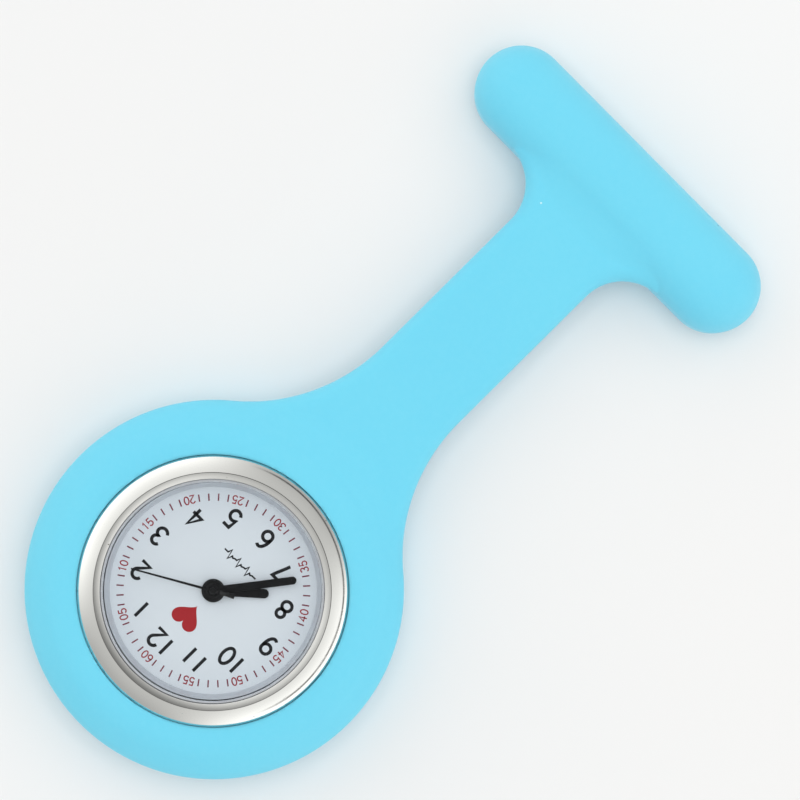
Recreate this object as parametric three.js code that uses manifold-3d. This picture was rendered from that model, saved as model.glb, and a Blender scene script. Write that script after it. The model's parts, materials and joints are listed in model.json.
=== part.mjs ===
// Silicone fob watch: a T-shaped silicone holder with a brooch pin in its bar, and a round quartz watch
// that pushes into its ring. Millimetres, +Z up. The watch lies on its back with the dial facing +Z, and
// the strap runs along +Y. The origin is under the middle of the whole object, on the surface it lies on.
import * as THREE from "three";
import { mergeVertices } from "three/addons/utils/BufferGeometryUtils.js";
import Module from "manifold-3d";

const wasm = await Module();
wasm.setup();

// ---- Driving dimensions, mm -------------------------------------------------------------------------

const HEAD_RADIUS = 20.2; // silicone ring round the watch
const BAR_OFFSET = 60.65; // from the dial's centre to the middle of the T-bar
const BAR_RADIUS = 5; // half width of the bar, and the radius of its round ends
const BAR_HALF_LENGTH = 19.6;
const BAR_HEIGHT = 8.6;
const STRAP_HALF_WIDTH = 5.75;
const STRAP_BOTTOM = 3.3;
const STRAP_TOP = 6.7;
const FLARE_RADIUS = 20.3; // concave sides where the strap spreads into the ring
const BAR_FILLET = 5.5; // concave corners between the strap and the bar
const FLEX_OFFSET = 40.5; // from the dial's centre to where the strap bends
const FLEX_CLEARANCE = 0.4;

const BEZEL_RADIUS = 14.4;
const BEZEL_BOTTOM = 6.3;
const BEZEL_TOP = 9.6;
const BORE_RADIUS = 14.65; // the holder's front opening
const SEAT_RADIUS = 12.5; // narrower bore below the seat that the bezel rests on
const BACK_LIP_RADIUS = 11.7;
const CASE_RADIUS = 12.2;
const CASE_BORE = 11.55;
const CASE_TOP = 7.9;
const CRYSTAL_RADIUS = 11.6;
const DIAL_RADIUS = 11.5;
const DIAL_BOTTOM = 5.9;
const DIAL_TOP = 6.3;
const REHAUT_RADIUS = 11; // inner edge of the sloped ring round the dial
const MOVEMENT_RADIUS = 9.2;
const PLATE_BOTTOM = 4.4;
const PLATE_TOP = 5.1;
const BRIDGE_BOTTOM = 2.4;
const BRIDGE_TOP = 2.8;
const STEM_HEIGHT = 4;

const PIN_AXIS_HEIGHT = 1.9; // brooch needle above the bar's flat back
const PIN_HINGE_X = -12.2;
const PIN_CATCH_X = 11.6;

// Hands at rest: degrees clockwise from twelve.
const HOUR_ANGLE = 228.3;
const MINUTE_ANGLE = 217.5;
const SECONDS_ANGLE = 60;

// Going train. Each wheel's teeth and module; a shared centre distance follows from the pitch radii.
const ROTOR_PINION = { teeth: 6, module: 0.1 };
const FIFTH_WHEEL = { teeth: 36, module: 0.1 };
const FIFTH_PINION = { teeth: 8, module: 0.1 };
const FOURTH_WHEEL = { teeth: 40, module: 0.1 };
const FOURTH_PINION = { teeth: 8, module: 0.072 };
const THIRD_WHEEL = { teeth: 60, module: 0.072 };
const THIRD_PINION = { teeth: 8, module: 0.068 };
const CENTRE_WHEEL = { teeth: 64, module: 0.068 };
const CANNON_PINION = { teeth: 12, module: 0.1 };
const MINUTE_WHEEL = { teeth: 36, module: 0.1 };
const MINUTE_PINION = { teeth: 10, module: 0.096 };
const HOUR_WHEEL = { teeth: 40, module: 0.096 };
const SETTING_WHEEL = { teeth: 18, module: 0.1 };

const RING_SEGMENTS = 40;
const SMALL_SEGMENTS = 16;
const PIVOT_SEGMENTS = 8;

// The object is centred in Y between the ring's far edge and the bar's far side.
const HEAD_Y = -(BAR_OFFSET + BAR_RADIUS - HEAD_RADIUS) / 2;
const BAR_Y = HEAD_Y + BAR_OFFSET;
const FLEX_Y = HEAD_Y + FLEX_OFFSET;
const STRAP_MIDDLE = (STRAP_BOTTOM + STRAP_TOP) / 2;
const STRAP_HALF_THICKNESS = (STRAP_TOP - STRAP_BOTTOM) / 2;

// ---- Materials --------------------------------------------------------------------------------------

const finish = (color, roughness, metalness = 0) =>
  new THREE.MeshStandardMaterial({ color, roughness, metalness });

const MATERIALS = {
  silicone: finish(0x7bdaf5, 0.65),
  chrome: finish(0xdcdad4, 0.12, 1),
  steel: finish(0xb9bbbd, 0.35, 1),
  glass: finish(0xe6eef2, 0.05),
  gasket: finish(0x3a3c40, 0.8),
  grey_ring: finish(0xa8adb3, 0.4, 0.6),
  dial: finish(0xd2d9e2, 0.45),
  black_hand: finish(0x101012, 0.35),
  brass: finish(0xc9a95a, 0.3, 1),
  white_plastic: finish(0xe4e2da, 0.5),
  black_plastic: finish(0x2a2b2e, 0.5),
  board: finish(0x1f5f3a, 0.5),
  copper: finish(0xb4652f, 0.4, 1),
  magnet: finish(0x4a4a4e, 0.5, 0.4),
};

// ---- Solids -----------------------------------------------------------------------------------------

function toSolid(geometry) {
  const bare = geometry.clone();
  bare.deleteAttribute("normal");
  bare.deleteAttribute("uv");
  const merged = mergeVertices(bare, 1e-4);
  const corners = merged.index.array;
  const triVerts = [];
  for (let i = 0; i < corners.length; i += 3) {
    const [a, b, c] = corners.slice(i, i + 3);
    if (a !== b && b !== c && c !== a) triVerts.push(a, b, c);
  }
  const vertProperties = merged.attributes.position.array;
  return new wasm.Manifold(new wasm.Mesh({ numProp: 3, vertProperties, triVerts: new Uint32Array(triVerts) }));
}

function toGeometry(solid) {
  const { vertProperties, triVerts } = solid.getMesh();
  const geometry = new THREE.BufferGeometry();
  geometry.setAttribute("position", new THREE.BufferAttribute(new Float32Array(vertProperties), 3));
  geometry.setIndex(new THREE.BufferAttribute(new Uint32Array(triVerts), 1));
  geometry.computeVertexNormals();
  return geometry;
}

const join = (first, ...others) =>
  toGeometry(others.reduce((solid, other) => solid.add(toSolid(other)), toSolid(first)));

const cut = (first, ...others) =>
  toGeometry(others.reduce((solid, other) => solid.subtract(toSolid(other)), toSolid(first)));

// Turns a profile of [radius, height] points, counter-clockwise with the radius to the right, about +Z.
function turned(profile, segments = RING_SEGMENTS) {
  const points = profile.map(([radius, height]) => new THREE.Vector2(radius, height));
  const onAxis = profile[0][0] === 0 && profile.at(-1)[0] === 0;
  if (!onAxis) points.push(points[0].clone());
  return new THREE.LatheGeometry(points, segments).rotateX(Math.PI / 2);
}

const disc = (radius, bottom, top, segments = SMALL_SEGMENTS) =>
  turned([[0, bottom], [radius, bottom], [radius, top], [0, top]], segments);

const ring = (inner, outer, bottom, top, segments = RING_SEGMENTS) =>
  turned([[inner, bottom], [outer, bottom], [outer, top], [inner, top]], segments);

const box = (x0, x1, y0, y1, z0, z1) =>
  new THREE.BoxGeometry(x1 - x0, y1 - y0, z1 - z0).translate((x0 + x1) / 2, (y0 + y1) / 2, (z0 + z1) / 2);

const radians = THREE.MathUtils.degToRad;

const polar = (radius, degrees) => [radius * Math.cos(radians(degrees)), radius * Math.sin(radians(degrees))];

// Points along an arc, from one angle to another, both included.
function arc([x, y], radius, from, to, steps) {
  return Array.from({ length: steps + 1 }, (_, i) => {
    const [dx, dy] = polar(radius, from + ((to - from) * i) / steps);
    return [x + dx, y + dy];
  });
}

const circle = (centre, radius, sides = PIVOT_SEGMENTS) => arc(centre, radius, 0, 360, sides).slice(0, -1);

const toVectors = (points) => points.map(([x, y]) => new THREE.Vector2(x, y));

// A flat plate of the given outline, with holes, between two heights.
function plate(outline, bottom, top, holes = [], bevel = 0) {
  const shape = new THREE.Shape(toVectors(outline));
  shape.holes = holes.map((points) => new THREE.Path(toVectors(points)));
  const rounding = { bevelThickness: bevel, bevelSize: bevel, bevelOffset: -bevel, bevelSegments: 2 };
  const depth = top - bottom - 2 * bevel;
  const geometry = new THREE.ExtrudeGeometry(shape, { depth, bevelEnabled: bevel > 0, ...rounding });
  return geometry.translate(0, 0, bottom + bevel);
}

// Lays a solid made along +Z so that its height runs along +X or +Y.
const alongX = (geometry) => geometry.rotateY(Math.PI / 2);
const alongY = (geometry) => geometry.rotateX(-Math.PI / 2);

const pitchRadius = ({ teeth, module }) => (teeth * module) / 2;

// Gear outline: a pinion's teeth have flat tips, and a fine wheel's are plain points.
function gearOutline(gear, centre = [0, 0], pointed = gear.teeth > 20) {
  const tip = pitchRadius(gear) + 0.8 * gear.module;
  const root = pitchRadius(gear) - 1.1 * gear.module;
  const pitch = 360 / gear.teeth;
  const corners = pointed ? [[0, tip], [0.5, root]] : [[-0.12, tip], [0.12, tip], [0.36, root], [0.64, root]];
  return Array.from({ length: gear.teeth }, (_, tooth) =>
    corners.map(([share, radius]) => {
      const [x, y] = polar(radius, (tooth + share) * pitch);
      return [centre[0] + x, centre[1] + y];
    }),
  ).flat();
}

// An upright arbor: a body between bridge and plate, and a thin pivot at each end.
function arbor(radius, bodyBottom, bodyTop, pivotBottom, pivotTop) {
  const pivot = 0.08;
  const profile = [
    [0, pivotBottom], [pivot, pivotBottom], [pivot, bodyBottom], [radius, bodyBottom],
    [radius, bodyTop], [pivot, bodyTop], [pivot, pivotTop], [0, pivotTop],
  ];
  return turned(profile, PIVOT_SEGMENTS);
}

// ---- Placing ----------------------------------------------------------------------------------------

const watch = new THREE.Group();

// The insert is laid out as the dial reads: twelve o'clock towards +Y and three o'clock towards +X. It is
// then turned half round, because the watch hangs upside down and twelve points away from the bar.
const insert = new THREE.Group();
insert.position.set(0, HEAD_Y, 0);
insert.rotation.z = Math.PI;

const brooch = new THREE.Group();
brooch.position.set(0, BAR_Y, 0);
watch.add(insert, brooch);

function add(group, name, material, geometry, [x, y] = [0, 0]) {
  const mesh = new THREE.Mesh(geometry, MATERIALS[material]);
  mesh.name = name;
  mesh.position.set(x, y, 0);
  group.add(mesh);
}

// ---- Silicone holder --------------------------------------------------------------------------------

const EDGE_ROUNDING = 0.7;

// Ring section: flat back, round outer edge, and a low crown that falls to the bezel.
const RING_PROFILE = [
  [BACK_LIP_RADIUS, 0], [17, 0], [18.9, 0.7], [19.9, 2], [HEAD_RADIUS, 3.6], [HEAD_RADIUS, 4.8],
  [19.6, 6.2], [18.4, 7.5], [16.8, 8.4], [15.4, 8.7], [BORE_RADIUS, 8.4],
  [BORE_RADIUS, BEZEL_BOTTOM - 0.1], [SEAT_RADIUS, BEZEL_BOTTOM - 0.1],
  [SEAT_RADIUS, 0.5], [BACK_LIP_RADIUS, 0.5],
];

// Where the flare circle touches the ring, and where it meets the straight strap.
const FLARE_CENTRE_X = STRAP_HALF_WIDTH + FLARE_RADIUS;
const FLARE_CENTRE_Y = Math.sqrt((HEAD_RADIUS + FLARE_RADIUS) ** 2 - FLARE_CENTRE_X ** 2);
const FLARE_START = THREE.MathUtils.radToDeg(Math.atan2(FLARE_CENTRE_Y, FLARE_CENTRE_X)) + 180;

const mirrored = (points) => [...points, ...points.map(([x, y]) => [-x, y]).reverse()];

function watchEnd() {
  const flare = arc([FLARE_CENTRE_X, FLARE_CENTRE_Y], FLARE_RADIUS, FLARE_START, 180, 9);
  const outline = mirrored([...flare, [STRAP_HALF_WIDTH, FLEX_OFFSET]]);
  const strap = plate(outline, STRAP_BOTTOM, STRAP_TOP, [], EDGE_ROUNDING);
  const knuckle = alongX(disc(STRAP_HALF_THICKNESS, -STRAP_HALF_WIDTH, STRAP_HALF_WIDTH));
  knuckle.translate(0, FLEX_OFFSET, STRAP_MIDDLE);
  const crownSlot = box(-BORE_RADIUS + 0.03, -CASE_RADIUS, -1.9, 1.9, 2.2, BEZEL_BOTTOM + 0.2);
  return cut(join(turned(RING_PROFILE), strap, knuckle), crownSlot);
}

// Bar section from the middle of its back to the middle of its top: flat back, round front.
const BAR_SECTION = [
  [0, 0], [3.5, 0], [4.6, 0.7], [BAR_RADIUS, 2.1], [BAR_RADIUS, 3.6], [4.55, 5.8],
  [3.3, 7.6], [1.6, 8.4], [0, BAR_HEIGHT],
];
const BAR_STRAIGHT = BAR_HALF_LENGTH - BAR_RADIUS;
const RECESS_HALF_LENGTH = 15.2;
const RECESS_HALF_WIDTH = 2.7;
const RECESS_TOP = 4.2;

function broochEnd() {
  const whole = [...BAR_SECTION, ...BAR_SECTION.slice(1, -1).map(([x, y]) => [-x, y]).reverse()];
  const middle = plate(whole, -BAR_STRAIGHT, BAR_STRAIGHT).rotateX(Math.PI / 2).rotateZ(Math.PI / 2);
  const ends = [-1, 1].map((side) => turned(BAR_SECTION, 24).translate(side * BAR_STRAIGHT, 0, 0));
  const filletCentre = [STRAP_HALF_WIDTH + BAR_FILLET, -BAR_RADIUS - BAR_FILLET];
  const start = [STRAP_HALF_WIDTH, FLEX_Y - BAR_Y + STRAP_HALF_THICKNESS + FLEX_CLEARANCE];
  const outline = mirrored([start, ...arc(filletCentre, BAR_FILLET, 180, 90, 6), [filletCentre[0], -3]]);
  const strap = plate(outline, STRAP_BOTTOM, STRAP_TOP, [], EDGE_ROUNDING);
  const recess = box(
    -RECESS_HALF_LENGTH, RECESS_HALF_LENGTH, -RECESS_HALF_WIDTH, RECESS_HALF_WIDTH, -1, RECESS_TOP,
  );
  return cut(join(middle, ...ends, strap), recess);
}

add(watch, "holder_watch_end", "silicone", watchEnd(), [0, HEAD_Y]);
add(watch, "holder_brooch_end", "silicone", broochEnd(), [0, BAR_Y]);

// ---- Brooch pin -------------------------------------------------------------------------------------

const PIN_PLATE_BOTTOM = 3.6;
const PIN_PLATE_TOP = 4.1;
const EAR_INNER = 0.5;
const EAR_OUTER = 0.95;
const RIVET_RADIUS = 0.3;
const NEEDLE_RADIUS = 0.35;

function pinPlate() {
  const strip = plate(
    [...arc([12.4, 0], 2.2, -90, 90, 8), ...arc([-12.4, 0], 2.2, 90, 270, 8)], PIN_PLATE_BOTTOM, PIN_PLATE_TOP,
  );
  const ears = [-1, 1].map((side) => {
    const edge = [[-0.9, 0], ...arc([0, PIN_AXIS_HEIGHT], 0.9, 180, 360, 8), [0.9, PIN_PLATE_BOTTOM + 0.2]];
    const outline = [...edge.slice(1), [-0.9, PIN_PLATE_BOTTOM + 0.2]];
    const ear = plate(outline, EAR_INNER, EAR_OUTER, [circle([0, PIN_AXIS_HEIGHT], RIVET_RADIUS + 0.06)]);
    ear.rotateX(Math.PI / 2);
    const shift = side > 0 ? EAR_INNER + EAR_OUTER : 0;
    return ear.translate(PIN_HINGE_X, shift, 0);
  });
  return join(strip, ...ears);
}

function pinRivet() {
  const head = 0.55;
  const end = EAR_OUTER + 0.25;
  const face = EAR_OUTER + 0.03;
  const profile = [
    [0, -end], [head, -end], [head, -face], [RIVET_RADIUS, -face],
    [RIVET_RADIUS, face], [head, face], [head, end], [0, end],
  ];
  return alongY(turned(profile, PIVOT_SEGMENTS)).translate(PIN_HINGE_X, 0, PIN_AXIS_HEIGHT);
}

function pinNeedle() {
  const tip = PIN_CATCH_X + 1.6;
  const eye = plate(circle([0, 0], 0.85, 12), -0.4, 0.4, [circle([0, 0], RIVET_RADIUS + 0.06)]);
  eye.rotateX(Math.PI / 2).translate(PIN_HINGE_X, 0, PIN_AXIS_HEIGHT);
  const start = PIN_HINGE_X + 0.6;
  const shaftProfile = [[0, start], [NEEDLE_RADIUS, start], [NEEDLE_RADIUS, tip - 2], [0.06, tip], [0, tip]];
  const shaft = alongX(turned(shaftProfile, PIVOT_SEGMENTS));
  shaft.translate(0, 0, PIN_AXIS_HEIGHT);
  return join(eye, shaft);
}

// A C-shaped collar about the needle's line, made along +X, with its gap centred on an angle from +Y.
function collar(inner, outer, x0, x1, gapAngle) {
  const half = 44;
  const outline = [
    ...arc([0, 0], outer, gapAngle + half, gapAngle + 360 - half, 12),
    ...arc([0, 0], inner, gapAngle + 360 - half, gapAngle + half, 12),
  ];
  const geometry = plate(outline, x0, x1);
  return geometry.rotateZ(Math.PI / 2).rotateY(Math.PI / 2).translate(0, 0, PIN_AXIS_HEIGHT);
}

function pinCatch() {
  const x0 = PIN_CATCH_X - 1.25;
  const x1 = PIN_CATCH_X + 1.25;
  const base = box(x0, x1, -1.4, 1.4, 3.05, PIN_PLATE_BOTTOM - 0.02);
  return join(base, collar(0.6, 1.35, x0, x0 + 0.5, -90), collar(0.6, 1.35, x1 - 0.5, x1, -90));
}

// The lock's gap faces sideways at rest, which closes the catch; turning it brings the gap to the open side.
const LOCK_REST_GAP = 30;

function pinLock() {
  const x0 = PIN_CATCH_X - 0.65;
  const x1 = PIN_CATCH_X + 0.65;
  const thumb = box(x0, x1, -0.22, 0.22, 0.9, 1.75).rotateX(radians(LOCK_REST_GAP - 180));
  return join(collar(0.55, 1.15, x0, x1, LOCK_REST_GAP), thumb.translate(0, 0, PIN_AXIS_HEIGHT));
}

add(brooch, "pin_plate", "steel", pinPlate());
add(brooch, "pin_rivet", "steel", pinRivet());
add(brooch, "pin_needle", "steel", pinNeedle());
add(brooch, "pin_catch", "steel", pinCatch());
add(brooch, "pin_lock", "brass", pinLock());

// ---- Watch case -------------------------------------------------------------------------------------

const CASE_BOTTOM = 1.35;
const BACK_BOTTOM = 0.55;
const BACK_TOP = 1.15;
const STEM_TUBE_RADIUS = 0.75;

const stemHole = (radius, from, to) =>
  alongX(disc(radius, from, to)).translate(0, 0, STEM_HEIGHT);

const caseBody = cut(
  ring(CASE_BORE, CASE_RADIUS, CASE_BOTTOM, CASE_TOP),
  stemHole(STEM_TUBE_RADIUS + 0.05, CASE_BORE - 1, CASE_RADIUS + 1),
);

const BEZEL_PROFILE = [
  [CASE_RADIUS + 0.05, BEZEL_BOTTOM], [BEZEL_RADIUS, BEZEL_BOTTOM], [BEZEL_RADIUS, 8.35], [14.15, 8.8],
  [13.6, 9.25], [12.95, 9.54], [12.55, BEZEL_TOP], [11.88, 9.05], [11.88, CASE_TOP + 0.02],
  [CASE_RADIUS + 0.05, CASE_TOP + 0.02],
];

const CRYSTAL_PROFILE = [
  [0, 8], [CRYSTAL_RADIUS, 8], [CRYSTAL_RADIUS, 8.98], [CRYSTAL_RADIUS - 0.17, 9.15], [0, 9.15],
];

const REHAUT_PROFILE = [
  [REHAUT_RADIUS, DIAL_TOP + 0.02], [11.5, DIAL_TOP + 0.02], [11.5, 7.95], [11.42, 7.95], [REHAUT_RADIUS, 6.5],
];

const CASE_BACK_PROFILE = [
  [0, 0.65], [9.5, 0.65], [10, BACK_BOTTOM], [12, BACK_BOTTOM], [12.15, 0.7], [12.15, BACK_TOP],
  [11.45, BACK_TOP], [11.45, 1.75], [11, 1.75], [11, BACK_TOP], [0, BACK_TOP],
];

const CROWN_INNER = 12.5;
const CROWN_OUTER = 13.65;
const CROWN = { teeth: 16, module: 0.175 };
const STEM_RADIUS = 0.35;

function crown() {
  const flutes = plate(gearOutline(CROWN), CROWN_INNER, CROWN_OUTER - 0.3, [circle([0, 0], 0.4, 12)]);
  const cap = turned([[0, CROWN_OUTER - 0.35], [1.3, CROWN_OUTER - 0.35], [1.3, 13.5], [1.1, CROWN_OUTER],
    [0, CROWN_OUTER]], CROWN.teeth);
  return alongX(join(flutes, cap)).translate(0, 0, STEM_HEIGHT);
}

// The stem: a square length that the clutch slides on, a groove for the setting lever, and a round end
// in the crown.
const SQUARE_HALF = 0.2;

function stem() {
  const profile = [
    [0, 6], [STEM_RADIUS, 6], [STEM_RADIUS, 6.6], [0.2, 6.6], [0.2, 7.85], [STEM_RADIUS, 7.85],
    [STEM_RADIUS, 13.2], [0, 13.2],
  ];
  const round = alongX(turned(profile, PIVOT_SEGMENTS));
  const square = box(3.9, 6.1, -SQUARE_HALF, SQUARE_HALF, -SQUARE_HALF, SQUARE_HALF);
  return join(round, square).translate(0, 0, STEM_HEIGHT);
}

add(insert, "case_body", "chrome", caseBody);
add(insert, "bezel", "chrome", turned(BEZEL_PROFILE));
add(insert, "crystal", "glass", turned(CRYSTAL_PROFILE));
add(insert, "crystal_gasket", "gasket", ring(11.64, 11.84, CASE_TOP + 0.02, 9));
add(insert, "rehaut_ring", "grey_ring", turned(REHAUT_PROFILE));
add(insert, "case_back", "steel", turned(CASE_BACK_PROFILE));
add(insert, "case_back_gasket", "gasket", ring(11.55, 12.1, BACK_TOP + 0.02, CASE_BOTTOM - 0.02));
add(insert, "crown_tube", "steel",
  alongX(ring(0.45, STEM_TUBE_RADIUS, CASE_BORE, 12.4, SMALL_SEGMENTS)).translate(0, 0, STEM_HEIGHT));
add(insert, "crown", "chrome", crown());
add(insert, "stem", "steel", stem());

// ---- Dial and hands ---------------------------------------------------------------------------------

const SECONDS_ARBOR_RADIUS = 0.17;
const CANNON_RADIUS = 0.5;
const HOUR_PIPE_RADIUS = 0.85;

add(insert, "dial", "dial", ring(0.95, DIAL_RADIUS, DIAL_BOTTOM, DIAL_TOP));

// A hand lies along +Y and is then turned clockwise to its reading. Its blade leaves the round boss.
function hand({ boss, hole, blade, bottom, top, angle }) {
  const hub = plate(circle([0, 0], boss, 20), bottom, top, [circle([0, 0], hole, 12)]);
  const arm = plate(blade, bottom, top);
  return join(hub, ...[].concat(arm)).rotateZ(radians(-angle));
}

// A straight blade with a round tip, starting at the boss's inner edge.
const baton = (halfWidth, start, length) => [
  [-halfWidth, start], [halfWidth, start], ...arc([0, length - halfWidth], halfWidth, 0, 180, 6),
];

add(insert, "hour_hand", "black_hand",
  hand({ boss: 1.25, hole: 0.9, blade: baton(0.5, 1, 5.9), bottom: 6.58, top: 6.74, angle: HOUR_ANGLE }));
add(insert, "minute_hand", "black_hand",
  hand({ boss: 1.12, hole: 0.54, blade: baton(0.42, 0.8, 8.9), bottom: 6.95, top: 7.1, angle: MINUTE_ANGLE }));

// The seconds hand: a tapering needle, and a short tail that widens to a flat end.
function secondsHand() {
  const bottom = 7.3;
  const top = 7.42;
  const needle = plate([[-0.14, 0.4], [0.14, 0.4], [0.08, 9], [-0.08, 9]], bottom, top);
  const tail = plate([[-0.28, -2.35], [0.28, -2.35], [0.14, -0.4], [-0.14, -0.4]], bottom, top);
  const hub = plate(circle([0, 0], 0.78, 12), bottom, top, [circle([0, 0], SECONDS_ARBOR_RADIUS + 0.03)]);
  return join(hub, needle, tail).rotateZ(radians(-SECONDS_ANGLE));
}

add(insert, "seconds_hand", "black_hand", secondsHand());

// ---- Movement: plates and fixed pieces ---------------------------------------------------------------

const meshDistance = (a, b) => pitchRadius(a) + pitchRadius(b);
const beyond = ([x, y], distance, degrees) => {
  const [dx, dy] = polar(distance, degrees);
  return [x + dx, y + dy];
};

const CENTRE = [0, 0];
const THIRD_AXIS = beyond(CENTRE, meshDistance(FOURTH_PINION, THIRD_WHEEL), 30);
const FIFTH_AXIS = beyond(CENTRE, meshDistance(FIFTH_PINION, FOURTH_WHEEL), -70);
const ROTOR_AXIS = beyond(FIFTH_AXIS, meshDistance(ROTOR_PINION, FIFTH_WHEEL), -120);
const MINUTE_AXIS = beyond(CENTRE, meshDistance(CANNON_PINION, MINUTE_WHEEL), 60);
const SETTING_AXIS = beyond(MINUTE_AXIS, meshDistance(MINUTE_WHEEL, SETTING_WHEEL), -35);
const BATTERY_AXIS = polar(5.75, 135);
const BATTERY_RADIUS = 3.4;
const SCREW_AXES = [polar(7.6, 205), polar(7.7, 100), polar(7.3, -35)];
const COVER_BOTTOM = 2.1;
const COVER_TOP = 2.25;

function movementRing() {
  const body = ring(MOVEMENT_RADIUS + 0.1, CASE_BORE - 0.06, 1.8, DIAL_BOTTOM - 0.02);
  return cut(body, stemHole(0.6, MOVEMENT_RADIUS - 1, CASE_BORE + 1));
}

function mainPlate() {
  const pivots = [THIRD_AXIS, FIFTH_AXIS, ROTOR_AXIS, MINUTE_AXIS, SETTING_AXIS].map((axis) => circle(axis, 0.15));
  const clutchOpening = [[4.4, -1.3], [6, -1.3], [6, 1.3], [4.4, 1.3]];
  const outline = circle(CENTRE, MOVEMENT_RADIUS, RING_SEGMENTS);
  const body = plate(outline, PLATE_BOTTOM, PLATE_TOP, [circle(CENTRE, 0.62, 12), ...pivots, clutchOpening]);
  const posts = SCREW_AXES.map(([x, y]) => disc(0.7, COVER_TOP + 0.02, PLATE_BOTTOM + 0.2, 12).translate(x, y, 0));
  const threads = SCREW_AXES.map(([x, y]) => disc(0.34, COVER_BOTTOM, 3.8, PIVOT_SEGMENTS).translate(x, y, 0));
  return cut(join(body, ...posts), ...threads);
}

function trainBridge() {
  const outline = [[-1.8, -5.3], [1.4, -5.3], [3.4, -2.2], [4.6, 1.6], [3, 3.2], [-0.4, 2.4], [-1.8, 0.4]];
  const pivots = [CENTRE, THIRD_AXIS, FIFTH_AXIS, ROTOR_AXIS].map((axis) => circle(axis, 0.15));
  return plate(outline, BRIDGE_BOTTOM, BRIDGE_TOP, pivots);
}

// The circuit board: a crescent between the train and the movement's rim.
function circuitBoard() {
  const outline = [...arc(CENTRE, 8.8, -60, 90, 16), ...arc(CENTRE, 5.7, 90, -60, 12)];
  return plate(outline, 2.5, 2.7, [circle(SCREW_AXES[2], 0.85, 12)]);
}

function stator() {
  const outline = [
    [-5.2, -7.1], [-4.2, -7.1], [-4.2, -5.3], [3.2, -5.3], [3.2, -7.1], [4.2, -7.1], [4.2, -3.4],
    [3.8, -3.1], [-4.8, -3.1], [-5.2, -3.4],
  ];
  return plate(outline, 3.85, 4.1, [circle(ROTOR_AXIS, 0.95, SMALL_SEGMENTS)]);
}

const COIL_Y = -6.6;
const COIL_HEIGHT = 3.6;

// The winding: a round bundle, made along +X, with a rectangular hole for the core.
function coilWinding() {
  const hole = [[-0.24, -0.54], [0.24, -0.54], [0.24, 0.54], [-0.24, 0.54]];
  return alongX(plate(circle(CENTRE, 0.75, SMALL_SEGMENTS), -4, 3, [hole])).translate(0, COIL_Y, COIL_HEIGHT);
}

const battery = turned([[0, 1.65], [3.1, 1.65], [BATTERY_RADIUS, 1.85], [BATTERY_RADIUS, 3.85], [2.7, 3.95],
  [2.7, 4.22], [0, 4.22]], 32);

// The clamp: a strip over the battery between two screws, on short feet that stand on the cover.
function batteryClamp() {
  const [[ax, ay], [bx, by]] = SCREW_AXES;
  const heading = THREE.MathUtils.radToDeg(Math.atan2(by - ay, bx - ax));
  const outline = [
    ...arc([bx, by], 0.9, heading - 90, heading + 90, 6),
    ...arc([ax, ay], 0.9, heading + 90, heading + 270, 6),
  ];
  const feet = SCREW_AXES.slice(0, 2).map(([x, y]) => disc(0.7, 1.5, COVER_BOTTOM - 0.02, 12).translate(x, y, 0));
  const holes = SCREW_AXES.slice(0, 2).map(([x, y]) => disc(0.34, 1, 3, PIVOT_SEGMENTS).translate(x, y, 0));
  return cut(join(plate(outline, 1.46, 1.6), ...feet), ...holes);
}

function batteryContact() {
  const leaf = plate(
    [[-5, 3.6], [-2.2, 3.6], [0.5, 5.9], [0.5, 6.6], [0.05, 6.6], [0.05, 6.1], [-2.4, 4.5], [-5, 4.5]], 4.27, 4.36,
  );
  return join(leaf, box(0.05, 0.5, 5.95, 6.6, 2.74, 4.3));
}

function circuitCover() {
  const holes = SCREW_AXES.map((axis) => circle(axis, 0.36));
  const outline = circle(CENTRE, 9, RING_SEGMENTS);
  const opening = circle(BATTERY_AXIS, BATTERY_RADIUS + 0.15, 32);
  return cut(plate(outline, COVER_BOTTOM, COVER_TOP, holes), plate(opening, COVER_BOTTOM - 1, COVER_TOP + 1));
}

function screw(headBottom, headTop) {
  const profile = [
    [0, headBottom + 0.1], [0.2, headBottom], [0.6, headBottom], [0.6, headTop], [0.28, headTop], [0.28, 3.6], [0, 3.6],
  ];
  return turned(profile, 12);
}

add(insert, "movement_ring", "white_plastic", movementRing());
add(insert, "main_plate", "black_plastic", mainPlate());
add(insert, "train_bridge", "white_plastic", trainBridge());
add(insert, "circuit_board", "board", circuitBoard());
add(insert, "control_chip", "black_plastic", box(5.1, 6.9, 3.45, 4.95, 2.72, 3.2));
add(insert, "quartz_crystal", "steel",
  alongX(turned([[0, 0.9], [0.6, 0.9], [0.75, 1.05], [0.75, 5.2], [0, 5.2]], SMALL_SEGMENTS)).translate(0, 6.5, 3.55));
add(insert, "stator", "steel", stator());
add(insert, "coil_core", "steel", box(-5.2, 4.2, COIL_Y - 0.5, COIL_Y + 0.5, COIL_HEIGHT - 0.2, COIL_HEIGHT + 0.2));
add(insert, "coil_winding", "copper", coilWinding());
add(insert, "battery", "steel", battery, BATTERY_AXIS);
add(insert, "battery_clamp", "steel", batteryClamp());
add(insert, "battery_contact", "brass", batteryContact());
add(insert, "circuit_cover", "steel", circuitCover());
SCREW_AXES.forEach((axis, i) => {
  const onClamp = i < 2;
  const head = onClamp ? screw(1.19, 1.44) : screw(1.8, COVER_BOTTOM - 0.02);
  add(insert, `movement_screw_${i + 1}`, "steel", head, axis);
});

// ---- Movement: keyless works ------------------------------------------------------------------------

// The clutch rides on the stem's square: contrate teeth towards the centre, a groove, and a flange.
function clutchWheel() {
  const toothed = plate(gearOutline({ teeth: 12, module: 0.16 }), 4.6, 4.85);
  const hub = disc(0.6, 4.8, 5.35);
  const flange = disc(1, 5.3, 5.6);
  const half = SQUARE_HALF + 0.05;
  return alongX(cut(join(toothed, hub, flange), box(-half, half, -half, half, 4, 6))).translate(0, 0, STEM_HEIGHT);
}

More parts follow.
